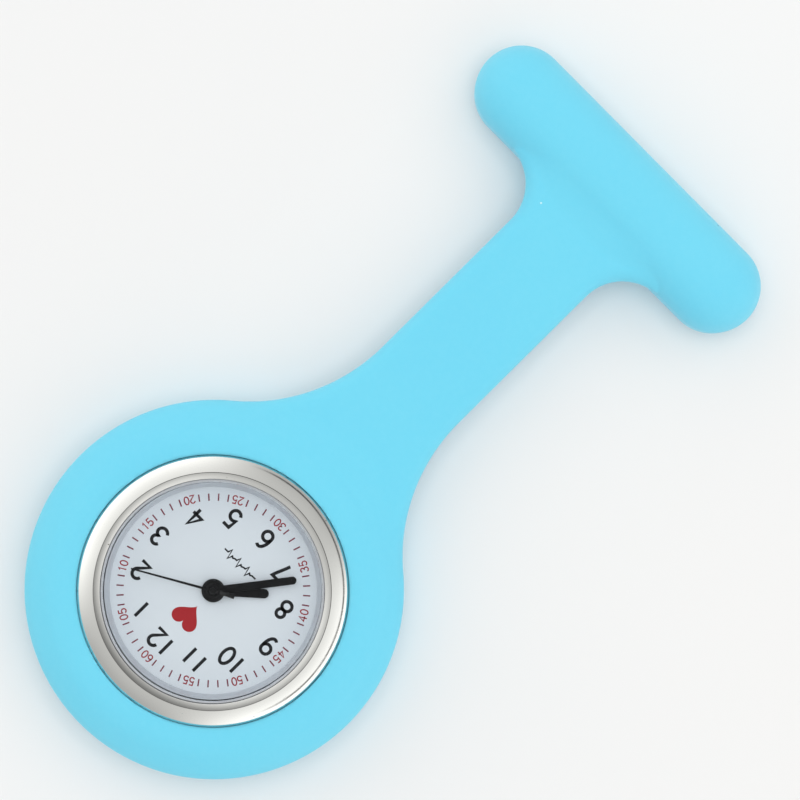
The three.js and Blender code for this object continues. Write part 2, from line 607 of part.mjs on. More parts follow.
const LEVER_BOTTOM = 3.85;
const LEVER_TOP = 4.15;
const settingLever = plate(
  [[7.45, 0.25], [7.75, 0.25], [7.75, 1.4], [7.2, 3], [6.2, 3], [6.2, 2], [7.2, 1.4], [7.45, 1.2]],
  LEVER_BOTTOM, LEVER_TOP,
);
const yoke = plate(
  [[4.95, 0.65], [5.2, 0.65], [5.4, 2.4], [5.4, 3.4], [4.5, 3.4], [4.5, 2.4], [4.95, 1.6]], LEVER_BOTTOM, LEVER_TOP,
);

const settingWheel = join(plate(gearOutline(SETTING_WHEEL), 5.15, 5.3), disc(0.1, 4.6, 5.2, PIVOT_SEGMENTS));

add(insert, "clutch_wheel", "steel", clutchWheel());
add(insert, "setting_lever", "steel", settingLever);
add(insert, "yoke", "steel", yoke);
add(insert, "setting_wheel", "brass", settingWheel, SETTING_AXIS);

// ---- Movement: going train and motion work ------------------------------------------------------------

const ARBOR_BOTTOM = BRIDGE_TOP + 0.05;
const ARBOR_TOP = PLATE_BOTTOM - 0.05;

// A wheel on an arbor, with the pinion that shares it. Heights are [bottom, top].
function wheelSet(wheel, wheelHeights, pinion, pinionHeights) {
  const parts = [arbor(0.16, ARBOR_BOTTOM, ARBOR_TOP, BRIDGE_BOTTOM + 0.1, PLATE_BOTTOM + 0.3)];
  if (wheel) parts.push(plate(gearOutline(wheel), ...wheelHeights));
  parts.push(plate(gearOutline(pinion), ...pinionHeights));
  return join(...parts);
}

const rotor = join(
  wheelSet(null, null, ROTOR_PINION, [3.3, 3.7]),
  disc(0.75, 3.68, 4.2),
);

// The fourth wheel's arbor runs up through the cannon pinion and carries the seconds hand.
function fourthWheel() {
  const profile = [
    [0, BRIDGE_BOTTOM + 0.1], [0.08, BRIDGE_BOTTOM + 0.1], [0.08, ARBOR_BOTTOM], [SECONDS_ARBOR_RADIUS, ARBOR_BOTTOM],
    [SECONDS_ARBOR_RADIUS, 7.5], [0, 7.5],
  ];
  const spindle = turned(profile, PIVOT_SEGMENTS);
  return join(spindle, plate(gearOutline(FOURTH_WHEEL), 2.95, 3.1), plate(gearOutline(FOURTH_PINION), 3.05, 3.5));
}

// The centre wheel, and the cannon pinion that is friction-fitted to it and carries the minute hand.
const centreWheel = plate(gearOutline(CENTRE_WHEEL), 3.7, 3.85, [circle(CENTRE, 0.3)]);

function cannonPinion() {
  const body = turned([[0.26, 3.9], [CANNON_RADIUS, 3.9], [CANNON_RADIUS, 7.12], [0.26, 7.12]], 12);
  const teeth = plate(gearOutline(CANNON_PINION), 5.15, 5.4, [circle(CENTRE, 0.35)]);
  return join(body, teeth);
}

const minuteWheel = join(
  plate(gearOutline(MINUTE_WHEEL), 5.2, 5.35),
  plate(gearOutline(MINUTE_PINION), 5.3, 5.75),
  disc(0.1, 4.5, 5.25, PIVOT_SEGMENTS),
);

function hourWheel() {
  const pipe = turned([[0.6, 5.5], [HOUR_PIPE_RADIUS, 5.5], [HOUR_PIPE_RADIUS, 6.76], [0.6, 6.76]], 12);
  return join(pipe, plate(gearOutline(HOUR_WHEEL), 5.5, 5.65, [circle(CENTRE, 0.7, 12)]));
}

add(insert, "rotor", "magnet", rotor, ROTOR_AXIS);
add(insert, "fifth_wheel", "brass", wheelSet(FIFTH_WHEEL, [3.45, 3.6], FIFTH_PINION, [2.9, 3.2]), FIFTH_AXIS);
add(insert, "fourth_wheel", "brass", fourthWheel());
add(insert, "third_wheel", "brass", wheelSet(THIRD_WHEEL, [3.25, 3.4], THIRD_PINION, [3.45, 3.95]), THIRD_AXIS);
add(insert, "centre_wheel", "brass", centreWheel);
add(insert, "cannon_pinion", "brass", cannonPinion());
add(insert, "minute_wheel", "brass", minuteWheel, MINUTE_AXIS);
add(insert, "hour_wheel", "brass", hourWheel());

export default watch;
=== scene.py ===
"""Silicone fob watch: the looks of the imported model, in its own frame.

Shapes are worked out in millimetres and scaled to metres as each mesh is made. The watch is laid out as
its dial reads, with twelve o'clock towards +Y, and is then turned half round, to hang upside down.
"""
import json
from math import atan2, cos, degrees, pi, radians, sin, sqrt, tan, tau

import bmesh
import bpy
import numpy as np
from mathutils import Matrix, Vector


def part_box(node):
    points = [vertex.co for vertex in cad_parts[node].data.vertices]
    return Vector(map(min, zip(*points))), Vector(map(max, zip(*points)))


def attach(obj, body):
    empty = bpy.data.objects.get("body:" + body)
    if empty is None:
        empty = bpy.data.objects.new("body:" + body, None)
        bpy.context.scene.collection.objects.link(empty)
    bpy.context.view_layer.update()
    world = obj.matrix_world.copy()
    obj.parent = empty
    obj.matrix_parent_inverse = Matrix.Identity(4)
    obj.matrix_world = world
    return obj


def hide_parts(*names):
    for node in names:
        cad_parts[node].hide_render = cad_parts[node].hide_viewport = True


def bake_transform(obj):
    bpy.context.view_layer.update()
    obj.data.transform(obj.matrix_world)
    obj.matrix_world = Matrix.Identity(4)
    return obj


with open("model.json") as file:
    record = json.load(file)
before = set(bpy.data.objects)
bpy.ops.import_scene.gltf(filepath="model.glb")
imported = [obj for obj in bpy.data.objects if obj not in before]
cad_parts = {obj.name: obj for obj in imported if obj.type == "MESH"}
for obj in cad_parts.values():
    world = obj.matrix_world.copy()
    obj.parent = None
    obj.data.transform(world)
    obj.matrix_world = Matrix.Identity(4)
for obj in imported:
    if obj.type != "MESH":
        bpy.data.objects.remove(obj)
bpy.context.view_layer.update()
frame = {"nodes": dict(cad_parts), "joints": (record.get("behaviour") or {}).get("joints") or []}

import openvdb
from mathutils import Matrix, Vector

MM = 0.001


def turn(degrees_round, axis):
    return Matrix.Rotation(radians(degrees_round), 4, axis)


def shift(x, y, z):
    return Matrix.Translation((x, y, z))


# ---- Sizes taken from the frame, mm ----

def corners(node):
    low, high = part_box(node)
    return low / MM, high / MM


def middle(node):
    low, high = corners(node)
    return (low + high) / 2


def radius_of(node):
    low, high = corners(node)
    return (high.x - low.x) / 2


def heights(node):
    low, high = corners(node)
    return low.z, high.z


HEAD = Vector((middle("bezel").x, middle("bezel").y, 0))
BAR = Vector((0, middle("pin_plate").y, 0))
INSERT = Matrix.Translation(HEAD) @ turn(180, "Z")
BROOCH = Matrix.Translation(BAR)

HEAD_RADIUS = radius_of("holder_watch_end")
BAR_OFFSET = BAR.y - HEAD.y
BAR_HALF_LENGTH = radius_of("holder_brooch_end")
BAR_RADIUS = corners("holder_brooch_end")[1].y - BAR.y
BAR_HEIGHT = heights("holder_brooch_end")[1]
RING_HEIGHT = heights("holder_watch_end")[1]
BEZEL_RADIUS = radius_of("bezel")
BEZEL_BOTTOM, BEZEL_TOP = heights("bezel")
FLEX = next(joint for joint in frame["joints"] if joint["name"] == "strap_flex")
FLEX_POINT = Vector(FLEX["pos_m"])


# ---- Camera ----

VIEW_WIDTH = 85.1  # mm across the picture, at the height it looks at
VIEW_DISTANCE = 375
VIEW_CENTRE = Vector((-0.4, HEAD.y + 28.27, 6))
VIEW_TURN = 45.23
SENSOR = 36


def in_scene(name, data):
    obj = bpy.data.objects.new(name, data)
    bpy.context.scene.collection.objects.link(obj)
    return obj


def add_camera():
    camera = bpy.data.cameras.new("camera")
    camera.sensor_width = SENSOR
    camera.lens = SENSOR * VIEW_DISTANCE / VIEW_WIDTH
    camera.clip_start = 0.01
    camera.clip_end = 10
    obj = in_scene("camera", camera)
    obj.location = (VIEW_CENTRE + Vector((0, 0, VIEW_DISTANCE))) * MM
    obj.rotation_euler = (0, 0, radians(VIEW_TURN))
    bpy.context.scene.camera = obj


add_camera()


# ---- Mesh making ----

def baked(obj):
    """Applies the object's modifiers to its mesh."""
    bpy.context.view_layer.update()
    obj.data = bpy.data.meshes.new_from_object(obj.evaluated_get(bpy.context.evaluated_depsgraph_get()))
    obj.modifiers.clear()
    return obj


def keep_flats_flat(obj):
    """Leans the shading of rounded edges towards the large faces beside them."""
    modifier = obj.modifiers.new("normals", "WEIGHTED_NORMAL")
    modifier.keep_sharp = True
    return baked(obj)


def new_object(name, solid, place=Matrix(), smooth_below=35):
    """A mesh object from (vertices, faces) in mm, with smooth shading across shallow edges."""
    vertices, faces = solid
    mesh = bpy.data.meshes.new(name)
    mesh.from_pydata([tuple(vertex) for vertex in vertices], [], faces)
    mesh.transform(Matrix.Scale(MM, 4) @ place)
    mesh.validate()
    mesh.shade_smooth()
    mesh.set_sharp_from_angle(angle=radians(smooth_below))
    return in_scene(name, mesh)


def combined(solids):
    vertices, faces = [], []
    for more_vertices, more_faces in solids:
        start = len(vertices)
        vertices += [tuple(vertex) for vertex in more_vertices]
        faces += [[start + i for i in face] for face in more_faces]
    return vertices, faces


def moved(solid, matrix):
    vertices, faces = solid
    return [tuple(matrix @ Vector(vertex)) for vertex in vertices], faces


def arc(centre, radius, start, end, steps):
    """Points on a circle, or on an ellipse if radius is a pair, between two angles in degrees."""
    rx, ry = radius if isinstance(radius, tuple) else (radius, radius)
    angles = [radians(start + (end - start) * i / steps) for i in range(steps + 1)]
    return [(centre[0] + rx * cos(angle), centre[1] + ry * sin(angle)) for angle in angles]


def circle(centre, radius, steps):
    return arc(centre, radius, 0, 360, steps)[:-1]


def rectangle(left, right, low, high):
    return [(left, low), (right, low), (right, high), (left, high)]


def wedge(low_half, low, high_half, high):
    """A symmetrical four-sided outline, from its half width at each end."""
    return [(-low_half, low), (low_half, low), (high_half, high), (-high_half, high)]


def rounded(points, radius, steps=5, closed=True):
    """An outline with its corners turned into arcs. A point's own third value overrides the radius."""
    result = []
    count = len(points)
    for i, point in enumerate(points):
        size = point[2] if len(point) > 2 else radius
        here = Vector(point[:2])
        back = Vector(points[i - 1][:2]) - here
        ahead = Vector(points[(i + 1) % count][:2]) - here
        at_end = not closed and i in (0, count - 1)
        half = 0 if at_end else back.angle(ahead) / 2
        if at_end or size == 0 or half > radians(87):
            result.append(tuple(here))
            continue
        reach = min(size / tan(half), 0.49 * back.length, 0.49 * ahead.length)
        bisector = (back.normalized() + ahead.normalized()).normalized()
        centre = here + bisector * (reach / cos(half))
        first = here + back.normalized() * reach - centre
        last = here + ahead.normalized() * reach - centre
        begin = atan2(first.y, first.x)
        sweep = (atan2(last.y, last.x) - begin + pi) % tau - pi
        for step in range(steps + 1):
            angle = begin + sweep * step / steps
            result.append((centre.x + first.length * cos(angle), centre.y + first.length * sin(angle)))
    return result


def turned(profile, segments=192):
    """Turns (radius, height) points, counter-clockwise with the radius to the right, about +Z."""
    vertices, faces, rings = [], [], []
    for radius, height in profile:
        count = 1 if radius == 0 else segments
        rings.append([len(vertices) + i for i in range(count)])
        for i in range(count):
            angle = tau * i / segments
            vertices.append((radius * cos(angle), radius * sin(angle), height))
    pairs = list(zip(rings, rings[1:]))
    if profile[0][0] != 0:
        pairs.append((rings[-1], rings[0]))
    for low, high in pairs:
        for i in range(segments):
            j = (i + 1) % segments
            loop = [low[i % len(low)], low[j % len(low)], high[j % len(high)], high[i % len(high)]]
            face = list(dict.fromkeys(loop))
            if len(face) > 2:
                faces.append(face)
    return vertices, faces


def lofted(sections):
    """Skins closed loops of equally many points, and closes both ends with flat faces."""
    count = len(sections[0])
    vertices = [point for section in sections for point in section]
    faces = [list(reversed(range(count)))]
    for row in range(len(sections) - 1):
        start = row * count
        for i in range(count):
            j = (i + 1) % count
            faces.append([start + i, start + j, start + count + j, start + count + i])
    faces.append([(len(sections) - 1) * count + i for i in range(count)])
    return vertices, faces


def plate(outline, bottom, top, holes=(), bevel=0.04, bevel_steps=2):
    """A flat sheet of the given outline between two heights, with rounded edges."""
    curve = bpy.data.curves.new("outline", "CURVE")
    curve.dimensions = "2D"
    curve.fill_mode = "BOTH"
    curve.extrude = (top - bottom) / 2 - bevel
    curve.bevel_depth = bevel
    curve.bevel_resolution = bevel_steps
    curve.offset = -bevel
    for points in [outline, *holes]:
        spline = curve.splines.new("POLY")
        spline.points.add(len(points) - 1)
        for knot, (x, y) in zip(spline.points, points):
            knot.co = (x, y, 0, 1)
        spline.use_cyclic_u = True
    obj = bpy.data.objects.new("outline", curve)
    mesh = bpy.data.meshes.new_from_object(obj)
    shape = bmesh.new()
    shape.from_mesh(mesh)
    bmesh.ops.remove_doubles(shape, verts=shape.verts, dist=1e-4)
    bmesh.ops.recalc_face_normals(shape, faces=shape.faces)
    lift = (top + bottom) / 2
    vertices = [(v.co.x, v.co.y, v.co.z + lift) for v in shape.verts]
    faces = [[v.index for v in face.verts] for face in shape.faces]
    shape.free()
    bpy.data.objects.remove(obj)
    bpy.data.curves.remove(curve)
    bpy.data.meshes.remove(mesh)
    return vertices, faces


def united(name, solids, place=Matrix(), smooth_below=35):
    """One object from several overlapping closed solids, joined by booleans."""
    base, *others = [new_object(name, solid, place, smooth_below) for solid in solids]
    for other in others:
        apply_boolean(base, other, "UNION")
    return base


def apply_boolean(base, other, operation):
    modifier = base.modifiers.new("join", "BOOLEAN")
    modifier.object = other
    modifier.operation = operation
    modifier.solver = "EXACT"
    baked(base)
    bpy.data.objects.remove(other)


def stroke(path, width, bottom, top, closed=False):
    """A thin raised line of constant width along a flat path, with mitred corners and square ends."""
    points = [Vector(point) for point in path]
    count = len(points)
    left, right = [], []
    for i, here in enumerate(points):
        before = points[i - 1] if closed or i > 0 else None
        after = points[(i + 1) % count] if closed or i < count - 1 else None
        arriving = (here - before).normalized() if before else (after - here).normalized()
        leaving = (after - here).normalized() if after else arriving
        direction = (arriving + leaving).normalized()
        side = Vector((-direction.y, direction.x))
        stretch = 1 / max(0.6, direction.dot(leaving))
        left.append(here + side * (width / 2 * stretch))
        right.append(here - side * (width / 2 * stretch))
    vertices = []
    for a, b in zip(left, right):
        vertices += [(a.x, a.y, bottom), (b.x, b.y, bottom), (b.x, b.y, top), (a.x, a.y, top)]
    faces = []
    for i in range(count if closed else count - 1):
        low, high = 4 * i, 4 * ((i + 1) % count)
        faces += [[low + k, low + (k + 1) % 4, high + (k + 1) % 4, high + k] for k in range(4)]
    if not closed:
        faces += [[3, 2, 1, 0], [4 * (count - 1) + k for k in range(4)]]
    return vertices, faces


# ---- Materials ----

def colour(red, green, blue):
    """A linear colour from sRGB values out of 255."""
    channels = [value / 255 for value in (red, green, blue)]
    return [c / 12.92 if c <= 0.04045 else ((c + 0.055) / 1.055) ** 2.4 for c in channels] + [1]


class NodeKit:
    """Calculations with the nodes of one tree."""

    def __init__(self, tree):
        self.nodes = tree.nodes
        self.links = tree.links

    def math(self, operation, *values):
        node = self.nodes.new("ShaderNodeMath")
        node.operation = operation
        for socket, value in zip(node.inputs, values):
            if isinstance(value, (int, float)):
                socket.default_value = value
            else:
                self.links.new(value, socket)
        return node.outputs["Value"]

    def remap(self, value, low, high, low_to, high_to, curve="LINEAR"):
        node = self.nodes.new("ShaderNodeMapRange")
        node.interpolation_type = curve
        numbers = {"From Min": low, "From Max": high, "To Min": low_to, "To Max": high_to}
        for name, number in numbers.items():
            node.inputs[name].default_value = number
        self.links.new(value, node.inputs["Value"])
        return node.outputs["Result"]


class Finish(NodeKit):
    """A procedural material: a Principled shader and the nodes that feed it."""

    def __init__(self, name, base, roughness, metallic=0, **sockets):
        self.material = bpy.data.materials.new(name)
        self.material.use_nodes = True
        super().__init__(self.material.node_tree)
        self.shader = self.nodes["Principled BSDF"]
        self.base = base
        self.set(Base_Color=base, Roughness=roughness, Metallic=metallic, **sockets)
        self.material.diffuse_color = base

    def set(self, **sockets):
        for socket, value in sockets.items():
            self.shader.inputs[socket.replace("_", " ")].default_value = value

    def coordinates(self, stretch=(1, 1, 1), centre=(0, 0, 0)):
        """The piece's own coordinates in mm, measured from a centre and stretched."""
        texture = self.nodes.new("ShaderNodeTexCoord")
        mapping = self.nodes.new("ShaderNodeMapping")
        mapping.inputs["Scale"].default_value = [s / MM for s in stretch]
        mapping.inputs["Location"].default_value = [-c * s for c, s in zip(centre, stretch)]
        self.links.new(texture.outputs["Object"], mapping.inputs["Vector"])
        return mapping.outputs["Vector"]

    def noise(self, scale, detail=2, vector=None, roughness=0.5):
        node = self.nodes.new("ShaderNodeTexNoise")
        node.inputs["Scale"].default_value = scale
        node.inputs["Detail"].default_value = detail
        node.inputs["Roughness"].default_value = roughness
        self.links.new(vector or self.coordinates(), node.inputs["Vector"])
        return node.outputs["Fac"]

    def specks(self, scale, size, share):
        """Sparse round dots: 1 in a dot and 0 elsewhere."""
        node = self.nodes.new("ShaderNodeTexVoronoi")
        node.inputs["Scale"].default_value = scale
        self.links.new(self.coordinates(), node.inputs["Vector"])
        split = self.nodes.new("ShaderNodeSeparateColor")
        self.links.new(node.outputs["Color"], split.inputs["Color"])
        chosen = self.math("LESS_THAN", split.outputs["Red"], share)
        varied = self.math("MULTIPLY", split.outputs["Green"], size)
        near = self.math("LESS_THAN", node.outputs["Distance"], varied)
        return self.math("MULTIPLY", chosen, near)

    def rings(self, scale, centre):
        """Concentric turning marks about an upright axis."""
        node = self.nodes.new("ShaderNodeVectorMath")
        node.operation = "LENGTH"
        self.links.new(self.coordinates((1, 1, 0), centre), node.inputs[0])
        marks = self.nodes.new("ShaderNodeTexNoise")
        marks.noise_dimensions = "1D"
        marks.inputs["Scale"].default_value = scale
        marks.inputs["Detail"].default_value = 3
        self.links.new(node.outputs["Value"], marks.inputs["W"])
        return marks.outputs["Fac"]

    def tint(self, amount, towards):
        """Mixes the base colour, as it stands so far, towards another colour."""
        mix = self.nodes.new("ShaderNodeMix")
        mix.data_type = "RGBA"
        socket = self.shader.inputs["Base Color"]
        if socket.is_linked:
            self.links.new(socket.links[0].from_socket, mix.inputs["A"])
        else:
            mix.inputs["A"].default_value = self.base
        mix.inputs["B"].default_value = towards
        self.links.new(amount, mix.inputs["Factor"])
        self.links.new(mix.outputs["Result"], socket)

    def mottle(self, scale, detail, span, amount, towards):
        """Tints in soft patches, by up to an amount, where noise rises through a span."""
        self.tint(self.remap(self.noise(scale, detail), *span, 0, amount), towards)

    # Tints sparse specks: real dust on the silicone, and painted glints of gloss on the black hands.
    def dust(self, scale, size, share, amount, towards):
        self.tint(self.math("MULTIPLY", self.specks(scale, size, share), amount), towards)

    def roughen(self, value):
        self.links.new(value, self.shader.inputs["Roughness"])

    def vary_roughness(self, scale, detail, span, limits):
        self.roughen(self.remap(self.noise(scale, detail), *span, *limits))

    def bump(self, height, distance, strength=1):
        """Adds relief of a given depth in mm, on top of what is there already."""
        node = self.nodes.new("ShaderNodeBump")
        node.inputs["Distance"].default_value = distance * MM
        node.inputs["Strength"].default_value = strength
        self.links.new(height, node.inputs["Height"])
        socket = self.shader.inputs["Normal"]
        if socket.is_linked:
            self.links.new(socket.links[0].from_socket, node.inputs["Normal"])
        self.links.new(node.outputs["Normal"], socket)


def silicone_finish():
    """Matte moulded silicone: a faint eggshell grain, soft mottling and a few dusty specks."""
    finish = Finish("silicone", colour(115, 214, 240), 0.62, Sheen_Weight=0.2, Sheen_Roughness=0.45,
                    Subsurface_Weight=0.08, Subsurface_Scale=0.6 * MM, Specular_IOR_Level=0.35, IOR=1.41)
    finish.set(Subsurface_Radius=(0.6, 1, 1))
    finish.mottle(0.09, 2, (0.35, 0.7), 0.16, colour(106, 206, 240))
    finish.mottle(1.6, 3, (0.4, 0.8), 0.07, colour(150, 226, 247))
    finish.dust(0.42, 0.055, 0.18, 0.7, colour(232, 247, 250))
    finish.dust(0.3, 0.05, 0.12, 0.6, colour(62, 118, 140))
    finish.vary_roughness(3, 2, (0.3, 0.7), (0.56, 0.7))
    finish.bump(finish.noise(9, 3), 0.012, 0.5)
    finish.bump(finish.noise(1.1, 2), 0.03, 0.25)
    return finish.material


def chrome_finish():
    """Polished steel with hairline scratches, small nicks and a trace of handling haze."""
    finish = Finish("chrome", colour(231, 231, 229), 0.07, 1)
    hairline = finish.noise(1, 2, finish.coordinates((14, 0.8, 3)))
    crossing = finish.noise(1, 2, finish.coordinates((0.7, 13, 3)))
    finish.vary_roughness(0.8, 3, (0.4, 0.75), (0.045, 0.14))
    finish.bump(finish.remap(hairline, 0.62, 0.72, 0, 1), 0.004, 0.12)
    finish.bump(finish.remap(crossing, 0.64, 0.74, 0, 1), 0.004, 0.1)
    nick = finish.specks(1.6, 0.16, 0.05)
    finish.tint(finish.math("MULTIPLY", nick, 0.7), colour(70, 66, 60))
    finish.bump(finish.math("SUBTRACT", 1, nick), 0.03, 0.4)
    return finish.material


def steel_finish():
    """Rolled and tumbled steel: a fine one-way grain with darker handling marks."""
    finish = Finish("steel", colour(190, 191, 192), 0.32, 1)
    grain = finish.noise(1, 3, finish.coordinates((1.2, 18, 18)))
    finish.roughen(finish.remap(grain, 0.25, 0.75, 0.24, 0.42))
    finish.mottle(0.9, 3, (0.45, 0.8), 0.3, colour(150, 148, 145))
    finish.bump(grain, 0.006, 0.3)
    return finish.material


def turned_steel_finish():
    """Steel with fine concentric turning marks about the dial's axis."""
    finish = Finish("turned_steel", colour(198, 199, 200), 0.25, 1)
    marks = finish.rings(7, HEAD)
    finish.roughen(finish.remap(marks, 0.3, 0.7, 0.2, 0.36))
    finish.mottle(0.5, 3, (0.5, 0.8), 0.3, colour(160, 157, 152))
    finish.bump(marks, 0.006, 0.5)
    return finish.material


def brass_finish():
    finish = Finish("brass", colour(206, 174, 98), 0.28, 1)
    finish.mottle(1.5, 3, (0.45, 0.75), 0.4, colour(170, 134, 70))
    finish.vary_roughness(4, 3, (0.3, 0.7), (0.2, 0.4))
    finish.bump(finish.noise(12, 2), 0.004, 0.3)
    return finish.material


def copper_finish():
    """Fine lacquered wire, wound in rings across the coil's length."""
    finish = Finish("copper", colour(190, 108, 58), 0.32, 0.9, Coat_Weight=0.3)
    wire = finish.nodes.new("ShaderNodeTexWave")
    wire.inputs["Scale"].default_value = 3
    finish.links.new(finish.coordinates(), wire.inputs["Vector"])
    finish.tint(finish.remap(wire.outputs["Fac"], 0, 0.5, 0.7, 0), colour(96, 44, 22))
    finish.bump(wire.outputs["Fac"], 0.03, 0.7)
    return finish.material


def moulded_finish(name, base, roughness):
    """Moulded plastic or rubber with a fine satin texture."""
    finish = Finish(name, base, roughness)
    darker = [c * 0.8 for c in base[:3]] + [1]
    finish.mottle(1.2, 2, (0.4, 0.8), 0.25, darker)
    finish.vary_roughness(6, 2, (0.3, 0.7), (roughness - 0.08, roughness + 0.1))
    finish.bump(finish.noise(14, 2), 0.006, 0.5)
    return finish.material


def board_finish():
    """Green circuit board with paler tracks under its lacquer."""
    finish = Finish("circuit_board", colour(28, 92, 58), 0.4, Coat_Weight=0.4)
    tracks = finish.nodes.new("ShaderNodeTexBrick")
    tracks.inputs["Scale"].default_value = 1
    tracks.inputs["Mortar Size"].default_value = 0.06
    tracks.inputs["Color1"].default_value = (0, 0, 0, 1)
    tracks.inputs["Color2"].default_value = (0, 0, 0, 1)
    tracks.inputs["Mortar"].default_value = (1, 1, 1, 1)
    finish.links.new(finish.coordinates(), tracks.inputs["Vector"])
    finish.tint(finish.math("MULTIPLY", tracks.outputs["Color"], 0.6), colour(120, 150, 84))
    finish.bump(tracks.outputs["Color"], 0.02, 0.4)
    return finish.material


def magnet_finish():
    finish = Finish("magnet", colour(74, 74, 78), 0.45, 0.5)
    finish.tint(finish.specks(9, 0.5, 0.4), colour(104, 103, 102))
    finish.bump(finish.noise(10, 3), 0.01, 0.5)
    return finish.material


def dial_finish():
    """Silver-white lacquered dial with a very fine frosted grain."""
    finish = Finish("dial", colour(221, 226, 232), 0.42)
    finish.mottle(0.12, 2, (0.35, 0.7), 0.35, colour(227, 231, 236))
    finish.mottle(16, 2, (0.35, 0.75), 0.2, colour(206, 212, 220))
    finish.vary_roughness(10, 2, (0.3, 0.7), (0.36, 0.5))
    finish.bump(finish.noise(22, 2), 0.004, 0.5)
    return finish.material


def rehaut_finish():
    """Satin grey ring with turning marks."""
    finish = Finish("grey_ring", colour(200, 204, 211), 0.38, 0.2)
    marks = finish.rings(9, HEAD)
    finish.tint(finish.remap(marks, 0.35, 0.7, 0, 0.35), colour(180, 185, 194))
    finish.roughen(finish.remap(marks, 0.3, 0.7, 0.3, 0.46))
    finish.bump(marks, 0.005, 0.4)
    return finish.material


def ink_finish(name, base):
    """Pad-printed ink, very slightly uneven in tone and thickness."""
    finish = Finish(name, base, 0.5)
    paler = [min(1, c * 1.5 + 0.01) for c in base[:3]] + [1]
    finish.mottle(7, 3, (0.45, 0.8), 0.3, paler)
    finish.vary_roughness(9, 2, (0.3, 0.7), (0.42, 0.6))
    finish.bump(finish.noise(18, 2), 0.003, 0.4)
    return finish.material


def hand_finish():
    """Black lacquered hands with a few tiny paler specks that are painted glints of their gloss."""
    finish = Finish("black_hand", colour(16, 16, 18), 0.34, Coat_Weight=0.15, Coat_Roughness=0.2)
    # Painted highlight: sparse pale specks stand in for glints of the lacquer's gloss.
    finish.dust(2.2, 0.16, 0.12, 0.5, colour(96, 100, 104))
    finish.vary_roughness(6, 3, (0.3, 0.7), (0.28, 0.45))
    finish.bump(finish.noise(14, 2), 0.004, 0.4)
    return finish.material


def glass_finish():
    """Clear mineral glass with faint smears. Light that has bounced passes straight through it."""
    finish = Finish("glass", (0.985, 0.995, 1, 1), 0.0, Transmission_Weight=1, IOR=1.5)
    finish.vary_roughness(0.5, 3, (0.5, 0.8), (0.0, 0.025))
    output = finish.nodes["Material Output"]
    path = finish.nodes.new("ShaderNodeLightPath")
    clear = finish.nodes.new("ShaderNodeBsdfTransparent")
    clear.inputs["Color"].default_value = (0.97, 0.985, 0.99, 1)
    mix = finish.nodes.new("ShaderNodeMixShader")
    bounced = finish.math("ADD", path.outputs["Is Diffuse Ray"], path.outputs["Is Glossy Ray"])
    finish.links.new(finish.math("ADD", path.outputs["Is Shadow Ray"], bounced), mix.inputs["Fac"])
    finish.links.new(finish.shader.outputs["BSDF"], mix.inputs[1])
    finish.links.new(clear.outputs["BSDF"], mix.inputs[2])
    finish.links.new(mix.outputs["Shader"], output.inputs["Surface"])
    return finish.material


MATERIALS = {
    "silicone": silicone_finish(),
    "chrome": chrome_finish(),
    "steel": steel_finish(),
    "turned_steel": turned_steel_finish(),
    "glass": glass_finish(),
    "gasket": moulded_finish("gasket", colour(186, 190, 196), 0.6),
    "grey_ring": rehaut_finish(),
    "dial": dial_finish(),
    "black_hand": hand_finish(),
    "black_ink": ink_finish("black_ink", colour(22, 22, 26)),
    "red_ink": ink_finish("red_ink", colour(150, 34, 48)),
    "tick_ink": ink_finish("tick_ink", colour(122, 52, 70)),
    "emblem_ink": ink_finish("emblem_ink", colour(166, 28, 36)),
    "brass": brass_finish(),
    "white_plastic": moulded_finish("white_plastic", colour(228, 226, 218), 0.5),
    "black_plastic": moulded_finish("black_plastic", colour(42, 43, 46), 0.5),
    "board": board_finish(),
    "copper": copper_finish(),
    "magnet": magnet_finish(),
}


def cover(obj, material):
    obj.data.materials.clear()
    obj.data.materials.append(MATERIALS[material])


def dress(obj, material, body, *nodes, slot=None):
    """Gives a piece its material, sets it riding, and hides the CAD nodes it stands for."""
    slot = slot or material
    if body:
        keep_flats_flat(obj)
    cover(obj, material)
    if body:
        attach(obj, body)
    if nodes:
        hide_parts(*nodes)


# ---- Silicone holder ----

STRAP_HALF_WIDTH = 5.75
STRAP_MIDDLE = FLEX_POINT.z / MM
STRAP_HALF_THICKNESS = 1.7
STRAP_ROUNDING = 1.5
FLARE_RADIUS = 20.3
FLARE_X = STRAP_HALF_WIDTH + FLARE_RADIUS
FLARE_Y = sqrt((HEAD_RADIUS + FLARE_RADIUS) ** 2 - FLARE_X ** 2)
BAR_FILLET = 5.5
FILLET_X = STRAP_HALF_WIDTH + BAR_FILLET
FILLET_Y = BAR_OFFSET - BAR_RADIUS - BAR_FILLET
FILLET_END = 0.3  # mm by which a fillet stops short of its full length, and the rounding there
FILLET_END_ROUNDING = 0.6
RING_TOP_ROUNDING = 5
RING_BOTTOM_ROUNDING = 3.3
BAR_TOP_ROUNDING = 4.6
BAR_BOTTOM_ROUNDING = 2
BORE_RADIUS = BEZEL_RADIUS + 0.04
SEAT_HEIGHT = BEZEL_BOTTOM - 0.1
SEAT_RADIUS = 12.5
BACK_LIP_RADIUS = 11.7
BACK_LIP_HEIGHT = 0.5
RECESS_HALF_LENGTH = 15.2
RECESS_HALF_WIDTH = 2.7
RECESS_TOP = 4.2
RECESS_HALF_DEPTH = 5
RECESS_ROUNDING = 0.8
CROWN_SLOT_CENTRE = (1.2 - BORE_RADIUS, 0, 4.2)
CROWN_SLOT_HALF = (1.25, 1.9, 2.2)
CROWN_SLOT_ROUNDING = 0.5
LIP_ROUNDING = 0.16
RING_BLEND = 2.4  # mm over which the strap's face melts into the ring, and into the bar
BAR_BLEND = 2.2
EDGE_FADE = 2.2  # mm in from the outline over which the blending widens
EDGE_SHARE = 0.3  # of its full width at the outline itself
EDGE_ROUNDING = 0.6
BLEND_TAPER = 5  # mm over which the blending ends, inside the ring and along the bar
